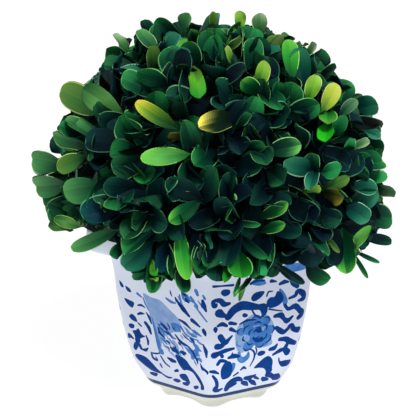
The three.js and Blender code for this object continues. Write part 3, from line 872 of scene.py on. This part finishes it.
def leaf_faces(pale_strips):
    """Quads of a leaf's upper and lower side over its own point numbers, with colour picks.

    Picks 0 to BANDS - 1 run along the blade. BANDS is the pale edge: the outer part of
    pale_strips and, where there are any, the tip. The last two are the lower side's foot and tip.
    """
    rows, columns = len(STATIONS), len(ACROSS)
    faces, picks = [], []
    for r in range(rows - 1):
        middle = (STATIONS[r] + STATIONS[r + 1]) / 2
        for c in range(columns - 1):
            band = min(max(r + BAND_STEPS[c], 0), BANDS - 1)
            a = r * columns + c
            faces.append((a, a + columns, a + columns + 1, a + 1))
            on_edge = c in pale_strips and middle > PALE_FROM
            on_tip = pale_strips and r == rows - 2
            picks.append(BANDS if on_edge or on_tip else band)
    extra = rows * columns
    inner = len(UNDER_COLUMNS)
    lines = [[r * columns, *(extra + r * inner + k for k in range(inner)), (r + 1) * columns - 1]
             for r in range(rows)]
    for r in range(rows - 1):
        for c in range(inner + 1):
            faces.append((lines[r][c], lines[r][c + 1], lines[r + 1][c + 1], lines[r + 1][c]))
            picks.append(BANDS + 1 if r < rows // 2 else BANDS + 2)
    return faces, picks


LAST_STRIP = len(ACROSS) - 2
LEAF_FACES, _ = leaf_faces(())
EDGE_PICKS = [leaf_faces(strips)[1] for strips in ((0, LAST_STRIP), (0,), (), (LAST_STRIP,))]

# Leaf colours as sRGB: the blade's foot, middle and tip, the edge, and the lower side.
# Each blade darkens towards its foot as painted shade where the leaf sits deep in the crown.
LEAF_PAINTS = {
    # night and deep are near-black painted shade, for leaves that lie in the crown's shade.
    "night": ((3, 9, 17), (4, 17, 27), (14, 46, 50), (58, 114, 88), (12, 38, 42)),
    "deep": ((4, 13, 22), (5, 31, 34), (18, 74, 52), (84, 148, 96), (16, 54, 46)),
    "pine": ((4, 15, 20), (9, 47, 35), (34, 102, 54), (104, 164, 96), (22, 68, 46)),
    "green": ((4, 22, 28), (10, 64, 40), (38, 128, 62), (106, 176, 98), (28, 86, 52)),
    "mid": ((10, 40, 30), (38, 94, 54), (80, 146, 78), (152, 196, 128), (56, 104, 60)),
    "blue": ((2, 12, 30), (3, 30, 48), (14, 72, 66), (80, 146, 114), (16, 60, 58)),
    "teal": ((4, 28, 34), (10, 70, 56), (48, 128, 94), (138, 192, 156), (40, 102, 80)),
    "grey": ((12, 44, 36), (60, 112, 78), (112, 158, 112), (156, 190, 146), (66, 108, 74)),
    "plum": ((8, 18, 20), (34, 38, 40), (60, 64, 56), (84, 126, 86), (60, 62, 56)),
    "olive": ((14, 50, 24), (54, 100, 42), (90, 132, 54), (154, 186, 92), (84, 116, 54)),
    "fresh": ((4, 50, 20), (36, 136, 40), (96, 180, 62), (150, 208, 100), (64, 132, 50)),
    "vivid": ((4, 80, 20), (28, 166, 26), (46, 196, 34), (120, 220, 88), (44, 150, 34)),
    "lime": ((26, 84, 24), (108, 168, 48), (158, 200, 80), (196, 222, 122), (118, 156, 60)),
    "emerald": ((2, 36, 14), (6, 78, 20), (40, 148, 38), (100, 186, 84), (20, 90, 26)),
    "moss": ((2, 34, 20), (8, 74, 36), (92, 178, 60), (140, 204, 104), (40, 104, 44)),
    "apple": ((24, 84, 28), (84, 160, 72), (104, 190, 64), (150, 216, 104), (90, 150, 70)),
    "gold": ((4, 44, 18), (100, 140, 34), (234, 216, 70), (236, 228, 124), (168, 158, 70)),
    "straw": ((60, 106, 36), (156, 180, 56), (194, 198, 86), (214, 214, 130), (150, 156, 80)),
    "amber": ((2, 8, 16), (22, 42, 22), (255, 232, 92), (150, 180, 90), (60, 70, 36)),
    "bronze": ((14, 26, 14), (74, 80, 26), (126, 124, 38), (154, 146, 76), (90, 82, 38)),
    "jade": ((6, 52, 36), (34, 140, 78), (58, 168, 92), (110, 190, 118), (28, 92, 56)),
    "grass": ((5, 24, 26), (18, 66, 42), (108, 190, 88), (140, 210, 120), (50, 110, 50)),
    "sage": ((42, 88, 38), (84, 138, 70), (32, 78, 38), (142, 182, 78), (56, 90, 46)),
    "spring": ((60, 90, 40), (96, 176, 46), (28, 140, 30), (120, 196, 80), (40, 110, 36)),
    "pale": ((16, 60, 34), (70, 124, 68), (168, 200, 154), (190, 214, 170), (96, 130, 90)),
}
BRIGHT = ("mid", "teal", "grey", "olive", "fresh", "vivid", "lime", "gold", "straw", "jade", "sage",
          "spring", "pale", "amber", "grass", "apple", "emerald", "moss")
LATE = ("night", "deep", "pine", "green", "blue", "plum", "bronze", "gold", "grass", "amber", "moss")
LATE_BLEND, EARLY_BLEND = 1.45, 0.95  # how late a blade turns from its foot's colour
BACK_SHADE = 0.45  # of the lower side's foot


def blade_colour(foot, middle, tip, share):
    """The blade's colour at a share of its length; its darker foot is painted shade."""
    first, second, part = (foot, middle, share * 2) if share < 0.5 else (middle, tip, share * 2 - 1)
    return srgb(*(a + (b - a) * part for a, b in zip(first, second)))


def leaf_paints(group):
    foot, middle, tip, edge, back = LEAF_PAINTS[group]
    blend = LATE_BLEND if group in LATE else EARLY_BLEND
    back = srgb(*back)
    looks = []
    for band in range(BANDS):
        colour = blade_colour(foot, middle, tip, (band / (BANDS - 1)) ** blend)
        looks.append((band, colour, 0.45, 0.1, 0.0002))
    looks.append(("edge", srgb(*edge), 0.5, 0.2, 0.0001))
    looks.append(("back_foot", tuple(c * BACK_SHADE for c in back), 0.6, 0.12, 0.0002))
    looks.append(("back_tip", back, 0.6, 0.12, 0.0002))
    return [material(f"leaf_{group}_{part}", colour, roughness, specular, LEAF_SHEEN, (240, depth))
            for part, colour, roughness, specular, depth in looks]


# Leaves that are placed one by one, by colour: foot (right, up), tip (right, up) and width in mm as
# seen from the front, from the middle of the view, then how far the leaf is lifted in hundredths
# of the ball's reach, and its roll. With no roll it is turned at random about its length. With
# one it faces the camera, turned by that many degrees, and keeps its seen width.
# A listed leaf that lies in shade takes a dark group, such as night or deep, as painted shade.
SHOWN = {
    "olive": [(-58, 55, -85, 65, 17, 1, 1), (-69, 30, -87, 24, 11, 3, 1), (65, 10, 81, 17, 7, 4, 1),
        (-32, 79, -32, 91, 7, 1), (9, 89, 21, 95, 6, 2), (65, -12, 74, -25, 3, 4)],
    "sage": [(-48, 54, -73, 66, 15, 3, 1), (-77, -13, -91, -8, 7), (-73, -11, -88, -5, 7, 3, 1),
        (23, -39, 17, -53, 3, 2, 1)],
    "gold": [(-17, 45, -42, 60, 10, 3, 1)],
    "amber": [(20, 52, -5, 47, 13, 2, 1)],
    "night": [(8, 36, 18, 63, 15, 0, 40), (73, -10, 70, -31, 11, 1), (15, -21, 16, -39, 11),
        (-5, -10, -5, -31, 14, -4), (8, -10, 7, -34, 14, -4), (22, -9, 22, -31, 14, -4),
        (47, -14, 48, -31, 13, -3), (-42, 36, -71, 38, 14, 2), (6, 71, 21, 81, 11, 2),
        (2, 1, 25, 11, 11, 2), (18, 1, 13, -18, 11, 2), (45, -18, 66, -30, 13, 2),
        (38, -31, 54, -45, 6, 4, 1), (5, -14, 0, -31, 11), (31, -11, 28, -28, 10),
        (58, -6, 67, -18, 11, 1)],
    "green": [(15, 45, 21, 55, 7, 3), (-18, 70, -41, 78, 8, 3), (24, -29, 28, -39, 7, 3),
        (-32, -24, -31, -49, 8, 2), (-15, -33, -15, -49, 9, 1), (-6, -17, -5, -38, 8, 1),
        (56, -31, 69, -42, 10), (81, -23, 92, -40, 3, 0, 1), (83, -24, 98, -32, 3, 0, 1),
        (-45, -17, -57, -26, 8, 2), (74, 55, 81, 74, 13, 1, 1), (-17, 72, -23, 93, 15),
        (-15, 96, -29, 109, 8), (-46, 83, -58, 88, 11), (-2, 93, 5, 111, 8), (3, 79, 1, 102, 11, 1),
        (10, 88, 18, 106, 13), (28, 68, 42, 60, 9, 1), (38, 60, 41, 72, 6, 1), (44, 52, 63, 61, 11, 2),
        (18, 32, 31, 39, 8, 1), (37, -10, 36, -29, 5, 1), (18, -15, 32, -30, 6, 4),
        (56, -13, 71, -25, 5, 4), (11, -6, 29, -12, 3, 2), (81, 25, 101, 28, 13),
        (-72, 42, -85, 47, 7, 3), (-58, 18, -70, 2, 9, 3), (-28, -11, -50, -24, 14, 3)],
    "bronze": [(-6, 41, -22, 43, 7, -2), (65, 10, 77, 5, 7, 3), (54, 88, 54, 94, 3)],
    "apple": [(-10, 31, -38, 29, 11, 4, 1), (80, -25, 92, -11, 7, 5, 1)],
    "spring": [(-10, 84, -2, 61, 10, 3, 1), (-33, -29, -32, -38, 4, 3)],
    "deep": [(-13, 81, -14, 66, 7, 1), (-2, 60, -23, 65, 9), (6, -19, 6, -42, 13),
        (28, -22, 28, -40, 11), (34, -14, 32, -38, 13, -3), (-6, -16, -6, -40, 11, -3),
        (87, -16, 104, -20, 7, 1, 1), (-36, 10, -60, 13, 11, 2), (-30, 1, -50, -2, 9, 3),
        (-30, 94, -37, 108, 7, 3), (26, 84, 32, 97, 10), (-2, 2, -21, 17, 14, 3, 25),
        (13, 1, 10, 18, 11, 2), (25, 7, 47, 3, 10, 1), (17, -10, 9, -32, 13, 2), (34, -11, 53, -16, 9),
        (53, 1, 76, -8, 14, 2), (-39, 49, -63, 52, 10), (-21, 1, -14, -18, 11, 1)],
    "straw": [(65, 54, 75, 71, 10, 3, 1)],
    "lime": [(57, 60, 62, 76, 9, 4, 1), (28, 69, 34, 84, 9, 4, 1), (18, 100, 19, 113, 7, 0, 1),
        (54, 9, 65, 13, 5, 2), (3, 100, 5, 111, 4, 3), (14, 83, 11, 90, 5, 4),
        (-33, -37, -30, -42, 3, 4)],
    "fresh": [(69, 58, 68, 46, 11, 2, 1), (-16, -11, -15, -41, 10, 4, 1), (48, 71, 47, 99, 10, 5, 1)],
    "vivid": [(69, 50, 68, 38, 10, 5, 1)],
    "jade": [(73, 41, 78, 54, 9, 3, 1), (64, 20, 77, 22, 10, 3, 1), (81, 32, 79, 41, 9, 5, 1),
        (31, -25, 28, -38, 7, 2), (88, 15, 103, 18, 6), (19, -38, 15, -50, 3, 0, 1)],
    "moss": [(31, 65, 19, 74, 10, 3, 1), (-3, 5, -23, -8, 10, 3, 1), (77, -11, 77, -38, 15, 3, 1),
        (28, -6, 46, 2, 8, 3, 1), (29, -14, 44, -9, 7, 3, 1)],
    "teal": [(54, 68, 53, 92, 13, 3, 1), (63, 21, 47, 26, 12, 3, 1), (62, 23, 58, 13, 8, 4, 1),
        (81, 55, 97, 61, 10), (81, 5, 98, 9, 11, 1), (79, 1, 93, -5, 10, 2), (79, 13, 97, 10, 9),
        (-31, -19, -49, -34, 14, 2), (-2, -11, 3, -22, 3, 2)],
    "pale": [(30, 99, 30, 112, 9, 0, 1), (80, 33, 92, 38, 5, 3), (-45, 88, -54, 100, 5),
        (56, 87, 62, 94, 5, 1)],
    "emerald": [(14, -30, 11, -42, 6, 3, 1), (18, -24, 18, -39, 15, 4, 1)],
    "pine": [(-2, -18, -3, -38, 11), (-39, -14, -44, -36, 13, -3), (-33, 29, -54, 21, 15, 3),
        (61, 17, 60, 33, 9, 2, 1), (-6, 78, -10, 96, 12, 1, 20), (-39, 78, -60, 81, 10),
        (59, 78, 66, 91, 10), (63, 74, 74, 81, 7, 1), (31, 56, 34, 74, 13), (-2, 2, 4, 21, 13, 2),
        (87, -1, 105, -6, 13), (84, 37, 101, 34, 11), (-50, 48, -66, 58, 9, -1),
        (-25, -31, -42, -42, 9, 2), (-33, -2, -49, -17, 10)],
    "mid": [(-80, 24, -100, 28, 15, 0, 1), (-79, 14, -99, 10, 15, 0, 1), (-61, 13, -83, 9, 15, 2),
        (-50, -11, -78, -26, 9, 3, 1), (-28, 89, -41, 102, 7, 3), (-15, 95, -11, 112, 6),
        (-60, 39, -81, 49, 10), (-69, 36, -89, 40, 9, 2), (-69, 45, -81, 52, 6, 2)],
    "blue": [(-49, 6, -71, -7, 17, 2), (-22, -18, -28, -36, 9, 1)],
    "plum": [(77, 50, 99, 45, 13)],
    "grey": [(75, 52, 84, 63, 7, 3, 1), (93, 14, 105, 6, 7)],
    "grass": [(-6, 93, -9, 103, 8, 4, 1), (32, 32, 53, 37, 12, 3, 1), (26, -38, 18, -49, 3, 1, 1)],
}

# Colours of the other leaves, each with its upper limit for a number from 0 to 1.
COMMON_COLOURS = [("night", 0.15), ("deep", 0.34), ("pine", 0.51), ("green", 0.73), ("mid", 0.81),
                  ("blue", 0.89), ("teal", 0.925), ("grey", 0.955), ("fresh", 0.985)]
LAST_COLOUR = "olive"
# Painted shade: leaves whose feet are below SHADE_TOP and within SHADE_SIDE of the middle take darker
# colours. Painted light: those left of LIGHT_SIDE take lighter ones.
SHADE_TOP, SHADE_SIDE, SHADE_SHARE = 176, 56, 0.6
LIGHT_SIDE, LIGHT_FROM = -58, 0.36

# The crown's outline as seen from the front, as (right, up) in mm. The few tips that pass it are
# in SHOWN.
FRONT_OUTLINE = [
    (0, 104), (34, 104), (47, 100), (60, 90), (70, 82), (75, 75), (86, 68), (94, 60), (99, 48),
    (100, 33), (101, 15), (101, 2), (100, -11), (92, -22), (82, -31), (72, -36), (58, -36),
    (53, -31), (46, -31), (42, -40), (31, -40), (18, -38), (8, -43), (-4, -38), (-11, -44),
    (-17, -47), (-23, -41), (-29, -46), (-39, -42), (-48, -33), (-53, -25), (-56, -12),
    (-71, -11), (-85, -14), (-91, -9), (-94, 2), (-99, 10), (-101, 25), (-97, 33), (-89, 42),
    (-83, 53), (-80, 62), (-69, 73), (-62, 81), (-58, 88), (-51, 95), (-39, 103), (-26, 107),
    (-12, 107),
]
OUTLINE_MIDDLE = 30
OUTLINE_TURNS, OUTLINE_REACH = zip(*sorted(
    (math.atan2(up - OUTLINE_MIDDLE, right), math.hypot(right, up - OUTLINE_MIDDLE))
    for right, up in FRONT_OUTLINE))
BEHIND_POT, POT_SIDE = 15, 62  # leaves further back and nearer the middle are hidden by the pot

EYE = np.array(CAMERA_TARGET + CAMERA_BACK * CAMERA_DISTANCE) / MM
AIM = np.array(CAMERA_TARGET) / MM
RIGHTWARD = np.array([1.0, 0, 0])
UPWARD = np.array([0, math.sin(CAMERA_RISE), math.cos(CAMERA_RISE)])
TOWARDS = unit(EYE - AIM)
VIEW_DISTANCE = CAMERA_DISTANCE / MM
SIGHT_STEPS = np.arange(430, 720, 0.5)[:, None]  # mm from the eye, past all of the ball

SHOWN_FOOT, SHOWN_TIP = 0.84, 0.97  # shares of the ball's reach
SHOWN_WIDTH, SHOWN_SPREAD, MOST_TURNED = 13, 2, 1.5
SHOWN_FORM = np.array([0.4, 0.7, 0.7, 1, 0.4, 0.6, 0.55, 1])  # calmer than the other leaves
SHOWN_FULLNESS = 0.3
KEPT_CLEARANCE, KEPT_WIDTH, KEPT_FROM = 4, 0.92, 0.35  # of a bright leaf that stays in view


def on_ball(right, up, share):
    """The front point of the ball at a share of its reach that shows at (right, up)."""
    ray = unit(AIM + RIGHTWARD * right + UPWARD * up - EYE)
    points = EYE + ray * SIGHT_STEPS
    shares = reach(points)
    inside = np.nonzero(shares <= share)[0]
    return points[inside[0] if len(inside) else int(np.argmin(shares))]


def seen_from_front(points):
    """Points as (right, up) on the view's middle plane, and their distances from the eye."""
    offset = points - EYE
    depth = -(offset @ TOWARDS)
    scale = VIEW_DISTANCE / depth
    return (offset @ RIGHTWARD) * scale, (offset @ UPWARD) * scale, depth


def past_outline(points):
    """True if a point shows outside the crown's outline; the pot hides those low behind it."""
    right, up, _ = seen_from_front(points)
    turn = np.arctan2(up - OUTLINE_MIDDLE, right)
    most = np.interp(turn, OUTLINE_TURNS, OUTLINE_REACH, period=TAU)
    hidden = (points[:, 1] > BEHIND_POT) & (points[:, 2] < BALL_CENTRE)
    hidden &= np.abs(points[:, 0]) < POT_SIDE
    return bool(np.any((np.hypot(right, up - OUTLINE_MIDDLE) > most) & ~hidden))


class Foliage:
    """All the leaves, by colour, and the bright ones that no later leaf may cover."""

    def __init__(self):
        self.kept = []
        self.groups = {name: ([], []) for name in LEAF_PAINTS}
        self.count = 0

    def add(self, group, top, under):
        batches, picks = self.groups[group]
        batches.append(np.concatenate([top.reshape(-1, 3), under.reshape(-1, 3)]))
        picks.extend(EDGE_PICKS[self.count % len(EDGE_PICKS)])
        self.count += 1

    def show(self, group, row):
        """Adds one listed leaf, and keeps a bright one in view."""
        right, up, tip_right, tip_up, width, lift, roll = (*row, 0, 0)[:7]
        draw = stream(SEED * 5 + 7919 * (right + 200) + 104729 * (up + 200))
        draw()
        foot = on_ball(right, up, SHOWN_FOOT + lift / 100)
        tip = on_ball(tip_right, tip_up, SHOWN_TIP + lift / 100)
        along = unit(tip - foot)
        sight = EYE - (foot + tip) / 2
        facing = unit(sight)
        facing = unit(facing - along * (facing @ along))
        across = np.cross(facing, along)
        seen_width = width * np.linalg.norm(sight) / VIEW_DISTANCE
        widened = (SHOWN_WIDTH + SHOWN_SPREAD * draw()) / seen_width
        full_width = seen_width * min(max(widened, 1), MOST_TURNED)
        tilt = math.acos(seen_width / full_width) * (1 if draw() < 0.5 else -1)
        turn = 0.9 * tilt + 0.3 * (draw() - 0.5)
        if roll:
            turn = math.radians(roll)
            full_width = seen_width / math.cos(turn)
        normal = facing * math.cos(turn) + across * math.sin(turn)
        across = np.cross(normal, along)
        form = SHOWN_FORM * leaf_form(draw)
        form[6] += SHOWN_FULLNESS
        length = np.linalg.norm(tip - foot)
        self.add(group, *leaf_points(foot, along, across, normal, length, full_width, form))
        if group in BRIGHT:
            start, end = np.array([right, up]), np.array([tip_right, tip_up])
            near = [-(point - EYE) @ TOWARDS for point in (foot, tip)]
            self.kept.append((start, end, width / 2, near))

    def hides_kept(self, spots):
        """True where more than one of the spots lies over a bright leaf that stays in view."""
        x, y, depth = seen_from_front(spots)
        for start, end, half, near in self.kept:
            line = end - start
            length = np.hypot(*line)
            line = line / length
            s = ((x - start[0]) * line[0] + (y - start[1]) * line[1]) / length
            side = np.abs((x - start[0]) * line[1] - (y - start[1]) * line[0])
            wide = half * np.interp(s, STATIONS, OUTLINE) * KEPT_WIDTH
            level = near[0] + (near[1] - near[0]) * s + KEPT_CLEARANCE
            over = (s > KEPT_FROM) & (s < 1) & (side < wide) & (depth < level)
            if np.count_nonzero(over) > 1:
                return True
        return False

    def make(self):
        """Joins the leaves of each colour into one piece."""
        template = np.array(LEAF_FACES)
        for group, (batches, picks) in self.groups.items():
            size = len(batches[0])
            faces = np.concatenate([template + size * k for k in range(len(batches))])
            make_piece(f"leaves_{group}", np.concatenate(batches), faces.tolist(),
                       leaf_paints(group), "foliage_ball", picks)


def leaf_form(draw):
    """Random curl, cup, wave, phase, twist, sweep, fullness and skew of a leaf."""
    return ((draw() - 0.35) * 1.5, 0.08 + 0.6 * draw(), 2.2 * draw() ** 1.5, draw() * TAU,
            (draw() - 0.5) * 1.6, (draw() - 0.5) * 0.34, 0.85 + 0.6 * draw(), (draw() - 0.5) * 0.24)


FLATTER = (0, 0.5, 0.85)
SHORTER = (1, .95, .9, .85, .8, .75, .7, .62)


def put_leaf(foliage, group, foot, along, side, size, draw):
    """One leaf that stays in the ball's space and off the pot.

    One that reaches too far is made shorter, and then laid flatter on the ball.
    """
    length, width = LEAF_LENGTH * size, LEAF_WIDTH * size
    width *= 0.8 + 0.26 * draw()
    form = leaf_form(draw)
    limit = 0.96 + 0.07 * draw()
    out = unit(foot - np.array([0, 0, BALL_CENTRE]))
    for flatter in FLATTER:
        heading = unit(along - out * (flatter * (along @ out)))
        across = unit(np.cross(heading, side if flatter == 0 else out))
        up = unit(np.cross(heading, across)) if flatter == 0 else unit(np.cross(across, heading))
        if flatter and up @ out < 0:
            up, across = -up, -across
        for shorter in SHORTER:
            top, under = leaf_points(foot, heading, across, up, length * shorter,
                                     width * math.sqrt(shorter), form)
            spots = top.reshape(-1, 3)
            if reach(spots).max() <= limit and not past_outline(spots):
                if not near_pot(spots) and not foliage.hides_kept(spots):
                    foliage.add(group, top, under)
                return


def pick_group(value, foot):
    """A colour for a leaf: darker low on the ball's front and back, as painted shade, and lighter on
    its left side, as painted light.
    """
    if foot[2] < SHADE_TOP and abs(foot[0]) < SHADE_SIDE:
        value *= SHADE_SHARE
    if foot[0] < LIGHT_SIDE:
        value = LIGHT_FROM + (1 - LIGHT_FROM) * value
    for name, limit in COMMON_COLOURS:
        if value < limit:
            return name
    return LAST_COLOUR


def fill_inner(foliage):
    """Short dark leaves low between the sprigs, all round the core that carries them, in dark colours
    as painted shade.
    """
    draw = stream(SEED * 13)
    for i in range(INNER_LEAVES):
        out = outward(1 - (1 - INNER_LOWEST) * (i + 0.5) / INNER_LEAVES, i * GOLDEN)
        foot = ball_point(out, INNER_SHARE)
        tilt = math.radians(45 + 35 * draw())
        along, side = splayed(out, TAU * draw(), tilt)
        # Halved values give the inner leaves mostly the darker groups, as painted shade.
        group = pick_group(0.5 * draw(), foot)
        put_leaf(foliage, group, foot, along, side, 0.8 + 0.25 * draw(), draw)


TWIG_DEPTH, TWIG_TAIL, LEAF_INSET = 7, 4, 3.2  # how far in from a sprig's root they start
SAME_TONE = 0.6  # the share of a sprig's leaves in its own tone
TWIG_SIDES = 5
TWIG_FACES = ring_faces(3, TWIG_SIDES)


class Twigs:
    """Slightly tapered rods."""

    def __init__(self):
        self.vertices, self.faces = [], []

    def add(self, start, grow, length, first, last):
        across, _ = splayed(grow, 0, math.pi / 2)
        other = np.cross(grow, across)
        begin = len(self.vertices)
        self.faces += [tuple(begin + i for i in face) for face in TWIG_FACES]
        for t, radius in ((0, first), (0.5, (first + last) / 2), (1, last)):
            for k in range(TWIG_SIDES):
                a = TAU * k / TWIG_SIDES
                off = (across * math.cos(a) + other * math.sin(a)) * radius
                self.vertices.append(start + grow * length * t + off)


def grow_sprig(foliage, twigs, i):
    """A sprig with its leaves where the solids have them, and the finer shoots beside it."""
    draw, root, grow, spin, low = sprig_frame(i)
    length = TWIG_LENGTH * (0.82 + 0.3 * draw())
    start = root - grow * TWIG_DEPTH
    fine = stream(SEED * 3 + i * 104729)
    tone = fine()
    twigs.add(start - grow * TWIG_TAIL, grow, 0.85 * length + TWIG_TAIL, 1.1, 0.6)
    for share, turn, splay in LEAF_PLACES:
        wobble = draw()
        size = 0.88 + 0.24 * draw()
        angle = math.radians(splay * (0.85 + 0.3 * wobble) * (1 - 0.2 * low))
        along, side = splayed(grow, spin + math.radians(turn), angle)
        along = unit(along - np.array([0, 0, DROOP * low]))
        foot = start + grow * (length * share - LEAF_INSET)
        group = pick_group(tone if fine() < SAME_TONE else fine(), foot)
        put_leaf(foliage, group, foot, along, side, size, fine)
    shoots = FINE_SHOOTS + (1 if i >= SPRIGS else 0)
    for k in range(shoots):
        turn = spin + TAU * (k + 0.6 * fine()) / shoots
        _, side = splayed(grow, turn, 0)
        base = start + side * (5 + 6 * fine())
        heading = unit(grow + side * (0.1 + 0.3 * fine()))
        out = TWIG_LENGTH * (0.6 + 0.5 * fine())
        twigs.add(base, heading, 0.75 * out, 0.8, 0.5)
        for share, around, splay in FINE_LEAVES:
            along, off = splayed(heading, turn + math.radians(around + 60 * fine()),
                                 math.radians(splay * (0.7 + 0.6 * fine())))
            along = unit(along - np.array([0, 0, DROOP * low * (0.5 + 0.6 * fine())]))
            foot = base + heading * (out * share - 1)
            group = pick_group(tone if fine() < SAME_TONE else fine(), foot)
            put_leaf(foliage, group, foot, along, off, 0.86 + 0.26 * fine(), fine)


def make_inner_ball():
    """The mass that the sprigs and the inner leaves stand in, near-black as painted shade."""
    vertices = []
    around, rows = 72, 40
    for r in range(rows + 1):
        a = INNER_BALL_LOWEST + (math.pi / 2 - INNER_BALL_LOWEST) * r / rows
        for i in range(around):
            b = TAU * i / around
            out = Vector((math.cos(a) * math.cos(b), math.cos(a) * math.sin(b), math.sin(a)))
            lump = noise.fractal(out * 9, 1, 2, 4)
            vertices.append(ball_point(np.array(out), INNER_BALL_SHARE + INNER_BALL_LUMPS * lump))
    # Near-black: painted shade deep inside the crown.
    dark = material("painted_shade_core", (0.002, 0.006, 0.009), 0.95, 0.05, bump=(300, 0.0015))
    faces = ring_faces(rows + 1, around, top=False)
    make_piece("inner_ball", vertices, faces, [dark], "foliage_ball")


def make_foliage():
    make_inner_ball()
    foliage, twigs = Foliage(), Twigs()
    for group, rows in SHOWN.items():
        for row in rows:
            foliage.show(group, row)
    for i in range(SPRIGS + SKIRT_SPRIGS):
        grow_sprig(foliage, twigs, i)
    fill_inner(foliage)
    foliage.make()
    wood = material("twig_green", (0.03, 0.06, 0.015), 0.6, 0.4, bump=(300, 0.0003))
    make_piece("twigs", twigs.vertices, twigs.faces, [wood], "foliage_ball")


# ------------------------------------------------------------------ all together

make_camera()
make_stage()
make_pot()
make_fill()
make_stem()
make_foliage()
